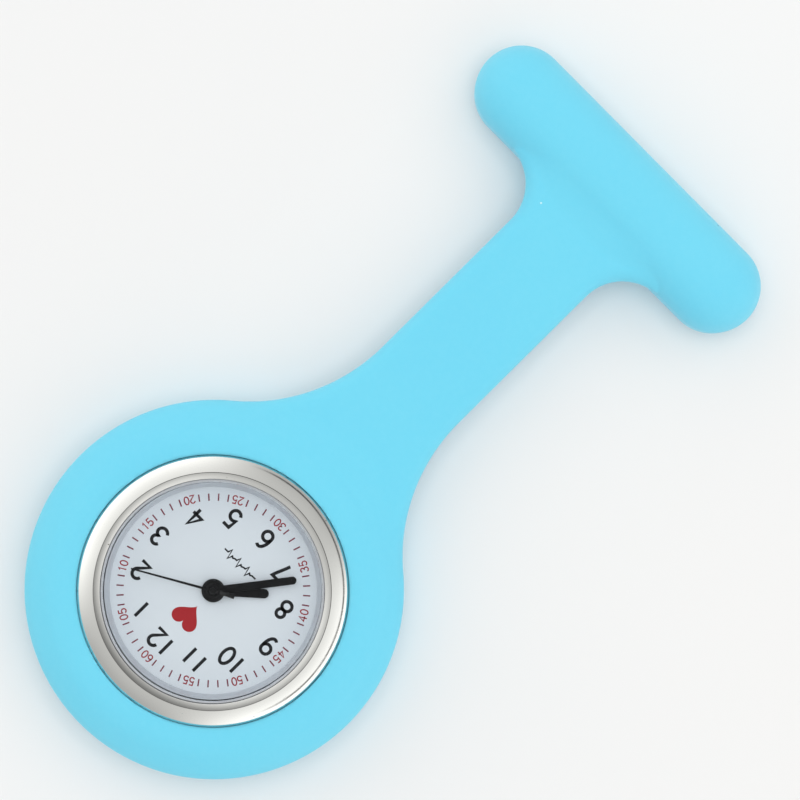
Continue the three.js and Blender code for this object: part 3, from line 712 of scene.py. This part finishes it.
LEAST_SHARE = 0.02  # of a blend's width, so that it never comes to nothing
CELL = 0.25  # mm, of the grid that the surface is drawn from
PROBE = 0.02  # mm between the points that a slope is measured from


def smooth_min(a, b, reach):
    share = np.clip(0.5 + 0.5 * (b - a) / reach, 0, 1)
    return b + (a - b) * share - reach * share * (1 - share)


def smooth_max(a, b, reach):
    return -smooth_min(-a, -b, reach)


def corner(across, up, edge, top, radius):
    """Distance to a quadrant that ends at edge and top, with its corner rounded."""
    a = across - (edge - radius)
    b = up - (top - radius)
    return np.minimum(np.maximum(a, b), 0) + np.hypot(np.maximum(a, 0), np.maximum(b, 0)) - radius


def block(x, y, z, centre, half, radius):
    """Distance to a box with rounded edges."""
    a, b, c = (np.abs(p - q) - h + radius for p, q, h in zip((x, y, z), centre, half))
    outside = np.sqrt(np.maximum(a, 0) ** 2 + np.maximum(b, 0) ** 2 + np.maximum(c, 0) ** 2)
    return outside + np.minimum(np.maximum(np.maximum(a, b), c), 0) - radius


def strap_outline(x, y):
    """Distance to the strap's sides in plan, with its flare to the ring and its fillets to the bar."""
    side = np.abs(x)
    flare = FLARE_RADIUS - np.hypot(side - FLARE_X, y - FLARE_Y)
    head = np.hypot(x, y) - HEAD_RADIUS
    fillet = BAR_FILLET - np.hypot(side - FILLET_X, y - FILLET_Y)
    fillet = smooth_max(fillet, side - FILLET_X + FILLET_END, FILLET_END_ROUNDING)
    sides = np.where(y > FILLET_Y, fillet, np.where(y < FLARE_Y, flare, side - STRAP_HALF_WIDTH))
    sides = np.where(y * FLARE_X > side * FLARE_Y, sides, head)
    return np.maximum(sides, y - BAR_OFFSET)


def bar_outline(x, y):
    straight = BAR_HALF_LENGTH - BAR_RADIUS
    return np.hypot(np.maximum(np.abs(x) - straight, 0), y - BAR_OFFSET) - BAR_RADIUS


def taper(value):
    """Goes smoothly from almost nothing to one as the value goes from 0 to 1."""
    value = np.clip(value, 0, 1)
    return LEAST_SHARE + (1 - LEAST_SHARE) * value * value * (3 - 2 * value)


def holder_distance(x, y, z):
    """Signed distance to the whole moulding, from a point in mm from the head's centre."""
    radius = np.hypot(x, y)
    head = np.maximum(
        corner(radius, z, HEAD_RADIUS, RING_HEIGHT, RING_TOP_ROUNDING),
        corner(radius, -z, HEAD_RADIUS, 0, RING_BOTTOM_ROUNDING),
    )
    outline = strap_outline(x, y)
    strap = corner(outline, np.abs(z - STRAP_MIDDLE), 0, STRAP_HALF_THICKNESS, STRAP_ROUNDING)
    bar_side = bar_outline(x, y)
    bar = np.maximum(
        corner(bar_side, z, 0, BAR_HEIGHT, BAR_TOP_ROUNDING),
        corner(bar_side, -z, 0, 0, BAR_BOTTOM_ROUNDING),
    )
    depth = np.maximum(-smooth_min(outline, bar_side, EDGE_FADE), 0)
    inside = EDGE_SHARE + (1 - EDGE_SHARE) * (1 - np.exp(-(depth / EDGE_FADE) ** 2))
    ring_share = taper((radius - HEAD_RADIUS) / BLEND_TAPER + 1)
    bar_share = np.clip((BAR_OFFSET - y) / BAR_RADIUS, LEAST_SHARE, 1)
    bar_share = bar_share * taper((FILLET_X - np.abs(x)) / BLEND_TAPER)
    body = smooth_min(head, strap, RING_BLEND * inside * ring_share)
    body = smooth_min(body, bar, BAR_BLEND * inside * bar_share)
    # Rounding the edge draws the outline in where face and side meet, so it is let out again there.
    side = np.minimum(outline, bar_side)
    let_out = EDGE_ROUNDING / 4 * np.exp(-((body - side) / (0.4 * EDGE_ROUNDING)) ** 2)
    body = smooth_max(body, side, EDGE_ROUNDING) - let_out
    bore = np.maximum(radius - BORE_RADIUS, SEAT_HEIGHT - z)
    seat = np.maximum(radius - SEAT_RADIUS, BACK_LIP_HEIGHT - z)
    crown_slot = block(x, y, z, CROWN_SLOT_CENTRE, CROWN_SLOT_HALF, CROWN_SLOT_ROUNDING)
    hollow = np.minimum(np.minimum(bore, seat), np.minimum(radius - BACK_LIP_RADIUS, crown_slot))
    recess_centre = (0, BAR_OFFSET, RECESS_TOP - RECESS_HALF_DEPTH)
    recess_half = (RECESS_HALF_LENGTH, RECESS_HALF_WIDTH, RECESS_HALF_DEPTH)
    recess = block(x, y, z, recess_centre, recess_half, RECESS_ROUNDING)
    return smooth_max(body, -np.minimum(hollow, recess), LIP_ROUNDING)


def holder_surface():
    """The moulding's surface as quads: drawn from a grid, then moved onto the exact shape."""
    margin = 4 * CELL
    low = np.array([-HEAD_RADIUS - margin, -HEAD_RADIUS - margin, -margin])
    high = np.array([HEAD_RADIUS + margin, BAR_OFFSET + BAR_RADIUS + margin, RING_HEIGHT + margin])
    counts = np.ceil((high - low) / CELL).astype(int)
    axes = [low[i] + CELL * np.arange(counts[i], dtype=np.float32) for i in range(3)]
    x, y, z = np.meshgrid(*axes, indexing="ij", sparse=True)
    grid = openvdb.FloatGrid(4 * CELL)
    grid.copyFromArray(np.clip(holder_distance(x, y, z), -4 * CELL, 4 * CELL).astype(float))
    points, quads = grid.convertToQuads(0)
    points = points.astype(float) * CELL + low
    for _ in range(4):
        value = holder_distance(*points.T)
        slope = np.stack([
            holder_distance(*(points + PROBE * axis).T) - holder_distance(*(points - PROBE * axis).T)
            for axis in np.eye(3)
        ], axis=1) / (2 * PROBE)
        size = np.maximum((slope ** 2).sum(axis=1), 0.25)
        points -= np.clip(value / size, -CELL, CELL)[:, None] * slope
    return points, quads


def outward(points, quads):
    """The quads, turned over if they face into the solid."""
    a, b, c, d = (points[quads[:, i]] for i in range(4))
    volume = (np.cross(a, b) * c).sum() + (np.cross(a, c) * d).sum()
    return quads if volume > 0 else quads[:, ::-1]


def add_holder():
    points, quads = holder_surface()
    solid = points, outward(points, quads).tolist()
    holder = new_object("silicone_holder", solid, Matrix.Translation(HEAD), 60)
    dress(holder, "silicone", None, "holder_watch_end", "holder_brooch_end")
    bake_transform(holder)


# ---- Case, bezel and crystal ----

CASE_LOW, CASE_HIGH = heights("case_body")
CASE_RADIUS = 12.2
CASE_BORE = 11.55
CRYSTAL_RADIUS = radius_of("crystal")
CRYSTAL_LOW, CRYSTAL_HIGH = heights("crystal")
DIAL_RADIUS = radius_of("dial")
DIAL_LOW, DIAL_TOP = heights("dial")
BEZEL_INNER = 11.88
BEZEL_CREST = 12.6
BEZEL_FACE_RADIUS = 5
GASKET_INNER = 11.64
GASKET_OUTER = 11.84
FLANGE_INNER = 11
FLANGE_OUTER = 11.5
BACK_GASKET_OUTER = 12.1
BACK_RADIUS = 12.15
BACK_SHELF = 1.15  # the height at which the back meets the case
SKIRT_INNER = 11
SKIRT_OUTER = 11.45
STEM_HEIGHT = middle("stem").z


def add_turned(name, profile, rounding, material, node, segments=256, slot=None):
    """A piece of the watch that is turned about the dial's axis."""
    solid = turned(rounded(profile, rounding), segments)
    dress(new_object(name, solid, INSERT, 40), material, "watch_insert", node, slot=slot)


def add_bezel():
    """The bezel's polished face is an arc that steepens from its crest to its outer edge."""
    shallow, steep, face = 20, 43, BEZEL_FACE_RADIUS
    crest_z = BEZEL_TOP - 0.02
    centre = (BEZEL_CREST - face * sin(radians(shallow)), crest_z - face * cos(radians(shallow)))
    polished = arc(centre, face, 90 - steep, 90 - shallow, 20)
    socket = CASE_RADIUS + 0.05
    shoulder = CASE_HIGH + 0.02
    profile = [(socket, BEZEL_BOTTOM), (BEZEL_RADIUS, BEZEL_BOTTOM, 0.2),
               (BEZEL_RADIUS, polished[0][1] - 0.1, 0.1), *[(r, z, 0) for r, z in polished[:-1]],
               (*polished[-1], 0.04), (BEZEL_CREST - 0.06, BEZEL_TOP - 0.01, 0.04),
               (BEZEL_INNER, BEZEL_TOP - 0.2, 0.04), (BEZEL_INNER, shoulder), (socket, shoulder)]
    add_turned("bezel_ring", profile, 0.03, "chrome", "bezel", 288)


def add_crystal():
    edge = [(0, CRYSTAL_LOW), (CRYSTAL_RADIUS, CRYSTAL_LOW, 0.05), (CRYSTAL_RADIUS, CRYSTAL_HIGH, 0.07),
            (0, CRYSTAL_HIGH)]
    solid = turned(rounded(edge, 0.05, 3, closed=False), 256)
    dress(new_object("crystal_disc", solid, INSERT, 30), "glass", "watch_insert", "crystal")


def add_case():
    low, high = heights("crystal_gasket")
    gasket = rectangle(GASKET_INNER, GASKET_OUTER, low, high)
    add_turned("gasket_ring", gasket, 0.05, "gasket", "crystal_gasket")
    low, high = heights("rehaut_ring")
    slope = [(FLANGE_OUTER - 0.04, high), (FLANGE_INNER, low + 0.22, 0.06)]
    flange = [(FLANGE_INNER, low, 0.02), (FLANGE_OUTER, low), (FLANGE_OUTER, high), *slope]
    add_turned("inner_flange", flange, 0.03, "grey_ring", "rehaut_ring")
    wall = rectangle(CASE_BORE, CASE_RADIUS, CASE_LOW, CASE_HIGH)
    add_turned("case_wall", wall, 0.1, "turned_steel", "case_body", slot="chrome")
    low, high = heights("case_back_gasket")
    seal = rectangle(CASE_BORE, BACK_GASKET_OUTER, low, high)
    add_turned("back_gasket", seal, 0.04, "gasket", "case_back_gasket")


def add_case_back():
    """A snap-on back: a low dish with a stepped rim, and a shallow notch for a case knife."""
    low, high = heights("case_back")
    dish = [(0, low + 0.12), (9.2, low + 0.12, 0.3), (9.9, low, 0.15)]
    rim = [(BACK_RADIUS - 0.4, low, 0.2), (BACK_RADIUS, low + 0.3, 0.1),
           (BACK_RADIUS, BACK_SHELF, 0.05)]
    skirt = [(SKIRT_OUTER, BACK_SHELF), (SKIRT_OUTER, high, 0.05), (SKIRT_INNER, high, 0.05)]
    profile = dish + rim + skirt + [(SKIRT_INNER, BACK_SHELF), (0, BACK_SHELF)]
    back = new_object("snap_back", turned(rounded(profile, 0.03, closed=False), 256), INSERT, 30)
    notch = plate(rounded(wedge(1.5, -0.5, 1.2, 0.6), 0.3), -0.4, 0.85, bevel=0.1)
    cutter = new_object("notch", notch, INSERT @ shift(0, -CASE_RADIUS, 0))
    apply_boolean(back, cutter, "DIFFERENCE")
    dress(back, "turned_steel", "watch_insert", "case_back", slot="steel")


def along_x(solid):
    return moved(solid, shift(0, 0, STEM_HEIGHT) @ turn(90, "Y"))


def add_crown():
    """A fluted crown: rounded grooves round its rim, and a domed end."""
    low, high = corners("crown")
    radius = (high.y - low.y) / 2
    length = high.x - low.x
    inner = HEAD.x - high.x
    flutes, depth = 16, 0.11
    count = flutes * 12
    # Each row is a share of the crown's length, and the share of its radius there.
    rim = [(0, 0.86), (0.04, 0.93), (0.12, 0.985), (0.2, 1), (0.72, 1), (0.8, 0.97), (0.86, 0.9)]
    dome = [(0.93, 0.72), (0.98, 0.4), (1, 0.08)]
    sections = []
    for along, share in rim + dome:
        groove = depth if share > dome[0][1] else 0
        section = []
        for i in range(count):
            angle = tau * i / count
            r = radius * share - groove * (0.5 - 0.5 * cos(flutes * angle)) ** 0.6
            section.append((r * cos(angle), r * sin(angle), inner + length * along))
        sections.append(section)
    crown = new_object("fluted_crown", along_x(lofted(sections)), INSERT, 40)
    dress(crown, "chrome", "crown_and_stem", "crown")
    tube = turned(rounded(rectangle(0.45, 0.75, CASE_BORE, CASE_RADIUS + 0.2), 0.06), 48)
    dress(new_object("crown_collar", along_x(tube), INSERT, 40), "steel", "watch_insert", "crown_tube")


# ---- Dial ----

HOUR_HEIGHT = 2.3
HOUR_STROKE = 0.35
HOUR_ADVANCE = 1.44
HOUR_RADII = (7.9, 8.05, 8.15, 8, 7.9, 7.7, 7.6, 7.75, 8.3, 7.7, 7.6, 7.8)
DIAL_HOLE = 0.95
MINUTE_HEIGHT = 0.95
MINUTE_STROKE = 0.13
MINUTE_ADVANCE = 0.64
MINUTE_RADIUS = 9.9
TICK_LENGTH = 0.77
TICK_WIDTH = 0.15
HEART_WIDTH = 3.1
PULSE_STROKE = 0.17
MARK_RADIUS = 4
INK = 0.012


def digit(figure):
    """A figure's centre-lines, one unit tall and centred on x = 0. True marks a closed line."""
    if figure == "0":
        return [(circle((0, 0.5), (0.29, 0.5), 40), True)]
    if figure == "1":
        return [([(0, 0), (0, 1)], False)]
    if figure == "flagged 1":
        return [([(-0.16, 0.8), (0.04, 1), (0.04, 0)], False)]
    if figure == "2":
        return [(arc((0, 0.72), (0.28, 0.28), 168, -41, 22) + [(-0.29, 0), (0.3, 0)], False)]
    if figure == "3":
        upper = arc((-0.02, 0.755), (0.25, 0.245), 158, -80, 20)
        lower = arc((-0.02, 0.265), (0.29, 0.265), 78, -160, 24)
        return [(upper + lower, False)]
    if figure == "4":
        return [([(0.05, 1), (-0.38, 0.29), (0.05, 0.29)], True), ([(0.05, 0.3), (0.05, -0.05)], False),
                ([(0.05, 0.29), (0.25, 0.29)], False)]
    if figure == "5":
        bowl = arc((0, 0.3), (0.29, 0.3), 128, -155, 26)
        return [([(0.25, 1), (-0.17, 1), (-0.23, 0.5)] + bowl, False)]
    if figure == "6":
        return [(circle((0, 0.28), (0.28, 0.28), 36), True),
                (arc((0.03, 0.42), (0.31, 0.58), 190, 62, 20), False)]
    if figure == "7":
        steps = [i / 10 for i in range(11)]
        curve = [(0.3 - 0.39 * t - 0.02 * sin(pi * t), 1 - t ** 0.86) for t in steps]
        return [([(-0.28, 1)] + curve, False)]
    if figure == "8":
        return [(circle((0, 0.765), (0.235, 0.235), 32), True),
                (circle((0, 0.265), (0.28, 0.265), 36), True)]
    return [([(-x, 1 - y) for x, y in line], closed) for line, closed in digit("6")]


def number(text, height, width, advance, matrix, flagged=False):
    """The strokes of a number, centred on a placing matrix. Flagged gives its 1 a flag."""
    solids = []
    tall = height - width
    for place, figure in enumerate(text):
        across = (place - (len(text) - 1) / 2) * advance
        for line, closed in digit("flagged 1" if flagged and figure == "1" else figure):
            path = [(across + x * tall, (y - 0.5) * tall) for x, y in line]
            solids.append(moved(stroke(path, width, 0, INK, closed), matrix))
    return solids


def at_clock(angle, radius, lean=0):
    """Places something on the dial, at degrees clockwise from twelve, turned by so many degrees."""
    return shift(radius * sin(radians(angle)), radius * cos(radians(angle)), DIAL_TOP) @ turn(lean, "Z")


def add_print(name, solids, ink):
    dress(new_object(name, combined(solids), INSERT, 20), ink, "watch_insert", slot="dial")


def add_dial():
    disc = rectangle(DIAL_HOLE, DIAL_RADIUS, DIAL_LOW, DIAL_TOP)
    add_turned("dial_plate", disc, 0.04, "dial", "dial")
    hours = []
    for hour, radius in enumerate(HOUR_RADII, 1):
        hours += number(str(hour), HOUR_HEIGHT, HOUR_STROKE, HOUR_ADVANCE, at_clock(hour * 30, radius))
    add_print("hour_numerals", hours, "black_ink")
    ticks, minutes = [], []
    for minute in range(1, 61):
        angle = minute * 6
        if minute % 5:
            ends = [(0, MINUTE_RADIUS - TICK_LENGTH / 2), (0, MINUTE_RADIUS + TICK_LENGTH / 2)]
            ticks.append(moved(stroke(ends, TICK_WIDTH, 0, INK), at_clock(0, 0, -angle)))
        else:
            flip = 180 if 90 < angle < 270 else 0
            place = at_clock(angle, MINUTE_RADIUS, flip - angle)
            text = f"{minute:02d}"
            minutes += number(text, MINUTE_HEIGHT, MINUTE_STROKE, MINUTE_ADVANCE, place, True)
    add_print("minute_ticks", ticks, "tick_ink")
    add_print("minute_numbers", minutes, "red_ink")


def add_marks():
    """Two plain marks: a small heart towards twelve, and a pulse line towards six."""
    size = HEART_WIDTH / 32
    heart = []
    for t in reversed([tau * i / 72 for i in range(72)]):
        height = 13 * cos(t) - 5 * cos(2 * t) - 2 * cos(3 * t) - cos(4 * t)
        heart.append((16 * sin(t) ** 3 * size, height * size))
    solid = lofted([[(x, y, z) for x, y in heart] for z in (0, INK)])
    add_print("heart_mark", [moved(solid, at_clock(0, MARK_RADIUS))], "emblem_ink")
    beat = [(0, 0), (0.22, 0.12), (0.4, 0), (0.62, 0.55), (0.86, -0.45), (1.04, 0)]
    pulse = [(-2.3, 0)] + [(-1.8 + 1.28 * k + x, y) for k in range(3) for x, y in beat] + [(2.3, 0)]
    line = stroke(pulse, PULSE_STROKE, 0, INK)
    add_print("pulse_mark", [moved(line, at_clock(180, MARK_RADIUS))], "black_ink")


# ---- Hands ----

HOUR_ANGLE = 228.3
MINUTE_ANGLE = 217.5
SECONDS_ANGLE = 60


def baton(boss, half_width, length):
    """A round boss and a straight blade with a round tip, along +Y."""
    edge = degrees(atan2(sqrt(boss ** 2 - half_width ** 2), half_width))
    return (arc((0, 0), boss, 180 - edge, 360 + edge, 60)
            + arc((0, length - half_width), half_width, 0, 180, 20))


def add_hand(name, solids, angle, body, node):
    place = INSERT @ turn(-angle, "Z")
    dress(united(name, solids, place, 30), "black_hand", body, node)


def add_hands():
    hour = plate(baton(1.25, 0.5, 5.9), *heights("hour_hand"), [circle((0, 0), 0.9, 48)], 0.03)
    add_hand("hour_pointer", [hour], HOUR_ANGLE, "hours", "hour_hand")
    minute = plate(baton(1.12, 0.42, 8.9), *heights("minute_hand"), [circle((0, 0), 0.54, 36)], 0.03)
    add_hand("minute_pointer", [minute], MINUTE_ANGLE, "minutes", "minute_hand")
    low, high = heights("seconds_hand")
    boss = 0.78
    blades = [wedge(0.14, 0.2, 0.085, 9), wedge(0.28, -2.35, 0.13, -0.2)]
    needle, tail = (plate(blade, low, high - 0.02, bevel=0.02) for blade in blades)
    disc = [(0.2, low), (boss, low, 0.03), (boss, high, 0.05), (0.56, high, 0.03)]
    groove = [(0.5, high - 0.06), (0.42, high - 0.06)]
    cap = [(0.36, high + 0.12, 0.06), (0, high + 0.15), (0, high + 0.1), (0.2, high + 0.1)]
    hub = turned(rounded(disc + groove + cap, 0.02), 64)
    add_hand("seconds_pointer", [hub, needle, tail], SECONDS_ANGLE, "seconds", "seconds_hand")


# ---- Brooch pin ----

PIN_AXIS_HEIGHT = 1.9
PIN_HINGE_X = -12.2
PIN_CATCH_X = 11.6
PIN_EYE = 0.36
GAP_HALF_ANGLE = 44
HINGE = BROOCH @ shift(PIN_HINGE_X, 0, PIN_AXIS_HEIGHT)


def add_pin_plate():
    low, high, end_x, end_radius = 3.6, 4.1, 12.4, 2.2
    outline = arc((end_x, 0), end_radius, -90, 90, 24) + arc((-end_x, 0), end_radius, 90, 270, 24)
    solids = [plate(outline, low, high, [circle((x, 0), 0.7, 32) for x in (-7.5, 0, 7.5)], 0.08, 3)]
    for side in (-1, 1):
        outline = [(-0.9, low + 0.25), *arc((0, PIN_AXIS_HEIGHT), 0.9, 180, 360, 24), (0.9, low + 0.25)]
        ear = plate(outline, 0.5, 0.95, [circle((0, PIN_AXIS_HEIGHT), PIN_EYE, 24)], 0.06)
        upright = shift(PIN_HINGE_X, side * 0.725, 0) @ turn(90, "X")
        solids.append(moved(ear, upright @ shift(0, 0, -0.725)))
    dress(united("brooch_plate", solids, BROOCH), "steel", "brooch_bar", "pin_plate")


def add_pin_rivet():
    head, end, face, shank = 0.55, 1.2, 0.98, 0.3
    dome = [(0, -end), (head * 0.6, -end, 0.1), (head, -face - 0.06, 0.06), (head, -face),
            (shank, -face)]
    profile = dome + [(r, -z, *more) for r, z, *more in reversed(dome)]
    rivet = moved(turned(rounded(profile, 0.03, closed=False), 48), turn(-90, "X"))
    dress(new_object("hinge_rivet", rivet, HINGE), "steel", "brooch_bar", "pin_rivet")


def add_needle():
    tip = PIN_CATCH_X + 1.6 - PIN_HINGE_X
    eye = plate(circle((0, 0), 0.85, 40), -0.4, 0.4, [circle((0, 0), PIN_EYE, 24)], 0.1, 3)
    point = [(0.35, tip - 3), (0.3, tip - 1.8), (0.2, tip - 0.8), (0.08, tip - 0.15), (0, tip)]
    shaft = turned([(0, 0.6), (0.35, 0.6), *point], 32)
    solids = [moved(eye, turn(90, "X")), moved(shaft, turn(90, "Y"))]
    dress(united("brooch_needle", solids, HINGE), "steel", "needle", "pin_needle")


def collar(inner, outer, start, end, gap):
    """A C-shaped collar round the needle's line, with its gap centred on an angle from +Y."""
    first, last = gap + GAP_HALF_ANGLE, gap + 360 - GAP_HALF_ANGLE
    outline = arc((0, 0), outer, first, last, 48) + arc((0, 0), inner, last, first, 36)
    place = shift(0, 0, PIN_AXIS_HEIGHT) @ turn(90, "Y") @ turn(90, "Z")
    return moved(plate(outline, start, end, bevel=0.07), place)


def add_catch():
    start, end = PIN_CATCH_X - 1.25, PIN_CATCH_X + 1.25
    base = plate(rounded(rectangle(start, end, -1.4, 1.4), 0.3), 3.05, 3.58, bevel=0.08)
    hooks = [collar(0.6, 1.35, start, start + 0.5, -90), collar(0.6, 1.35, end - 0.5, end, -90)]
    dress(united("needle_catch", [base, *hooks], BROOCH), "steel", "brooch_bar", "pin_catch")


def add_lock():
    start, end, rest_gap = PIN_CATCH_X - 0.65, PIN_CATCH_X + 0.65, 30
    outline = [(start, 0.9), (end, 0.9), (end - 0.1, 1.75), (start + 0.1, 1.75)]
    tab = plate(rounded(outline, 0.25), -0.2, 0.2, bevel=0.06)
    upright = turn(rest_gap - 180, "X") @ turn(90, "X")
    tab = moved(tab, shift(0, 0, PIN_AXIS_HEIGHT) @ upright)
    solids = [collar(0.55, 1.1, start, end, rest_gap), tab]
    dress(united("catch_lock", solids, BROOCH), "brass", "lock", "pin_lock")


# ---- Pieces that keep their CAD shape ----

CARRIED = {
    "steel": ["stem", "quartz_crystal", "stator", "coil_core", "battery", "battery_clamp",
              "circuit_cover", "movement_screw_1", "movement_screw_2", "movement_screw_3",
              "clutch_wheel", "setting_lever", "yoke"],
    "brass": ["battery_contact", "setting_wheel", "fifth_wheel", "fourth_wheel", "third_wheel",
              "centre_wheel", "cannon_pinion", "minute_wheel", "hour_wheel"],
    "white_plastic": ["movement_ring", "train_bridge"],
    "black_plastic": ["main_plate", "control_chip"],
    "board": ["circuit_board"],
    "copper": ["coil_winding"],
    "magnet": ["rotor"],
}


def dress_carried():
    for material, nodes in CARRIED.items():
        for node in nodes:
            cover(frame["nodes"][node], material)


# ---- Studio ----

FLOOR_HALF = 2000
SOFTBOX_DISTANCE = 700
SOFTBOX_TONE = (0.99, 0.98, 0.99)
WALL_TONE = (1, 1, 0.975, 1)
WALL_GREY = 0.56
WALL_LOBE = 0.95  # of light added where the walls are brightest
STRIP_HEIGHT = 0.31  # the height at which the strip is seen, as the sine of its elevation
STRIP_DEPTH = 0.8  # the share of the light that it takes away
CEILING_SHARE = 0.12


def add_floor():
    finish = Finish("floor", colour(240, 240, 240), 0.7)
    finish.mottle(0.01, 2, (0.3, 0.7), 1, colour(238, 239, 240))
    square = rectangle(-FLOOR_HALF, FLOOR_HALF, -FLOOR_HALF, FLOOR_HALF)
    floor = new_object("floor", ([(x, y, 0) for x, y in square], [[0, 1, 2, 3]]))
    floor.data.materials.append(finish.material)


def add_softbox(name, azimuth, elevation, size, power):
    """An area light aimed at the object's middle, which nothing mirrors. Azimuths start at +X."""
    light = bpy.data.lights.new(name, "AREA")
    light.shape = "RECTANGLE"
    light.size, light.size_y = (side * MM for side in size)
    light.energy = power
    light.color = SOFTBOX_TONE
    obj = in_scene(name, light)
    a, e = radians(azimuth), radians(elevation)
    obj.location = Vector((cos(a) * cos(e), sin(a) * cos(e), sin(e))) * SOFTBOX_DISTANCE * MM
    obj.rotation_euler = obj.location.to_track_quat("Z", "Y").to_euler()
    obj.visible_glossy = False
    obj.visible_transmission = False


class Surroundings(NodeKit):
    """The studio's walls and ceiling: a world whose light depends on the direction it comes from."""

    def __init__(self):
        self.world = bpy.data.worlds.new("studio")
        self.world.use_nodes = True
        super().__init__(self.world.node_tree)
        direction = self.nodes.new("ShaderNodeTexCoord")
        split = self.nodes.new("ShaderNodeSeparateXYZ")
        self.links.new(direction.outputs["Generated"], split.inputs["Vector"])
        self.x, self.y, self.z = (split.outputs[axis] for axis in "XYZ")

    def fade(self, value, *numbers):
        return self.remap(value, *numbers, curve="SMOOTHSTEP")


def add_surroundings():
    """Pale walls, brighter towards -X and +X, a dark ceiling, and a low dark strip beyond +X and +Y."""
    room = Surroundings()
    across = room.math("MULTIPLY", room.x, room.x)
    along = room.math("MULTIPLY", room.y, room.y)
    share = room.math("DIVIDE", across, room.math("ADD", room.math("ADD", across, along), 0.001))
    lobe = room.fade(share, 0, 0.8, 0, WALL_LOBE)
    lobe = room.math("MULTIPLY", lobe, room.fade(room.z, 0, 0.9, 1, 0.3))
    walls = room.math("MULTIPLY_ADD", room.fade(room.z, 0, 0.8, 0.88, 1.12), WALL_GREY, lobe)
    height = room.math("ABSOLUTE", room.math("SUBTRACT", room.z, STRIP_HEIGHT))
    beyond = room.fade(room.math("ADD", room.x, room.y), 0.3, 0.75, 0, STRIP_DEPTH)
    strip = room.math("MULTIPLY", room.fade(height, 0.015, 0.06, 1, 0), beyond)
    walls = room.math("MULTIPLY", walls, room.math("SUBTRACT", 1, strip))
    light = room.math("MULTIPLY", walls, room.fade(room.z, 0.78, 0.98, 1, CEILING_SHARE))
    background = room.nodes["Background"]
    background.inputs["Color"].default_value = WALL_TONE
    room.links.new(light, background.inputs["Strength"])
    bpy.context.scene.world = room.world
    bpy.context.scene.view_settings.view_transform = "Standard"


def add_light():
    add_surroundings()
    add_softbox("softbox_overhead", 90, 86, (520, 520), 1.98)
    add_softbox("softbox_far", 80, 45, (500, 400), 0.42)


add_floor()
add_light()
add_holder()
add_bezel()
add_crystal()
add_case()
add_case_back()
add_crown()
add_dial()
add_marks()
add_hands()
add_pin_plate()
add_pin_rivet()
add_needle()
add_catch()
add_lock()
dress_carried()
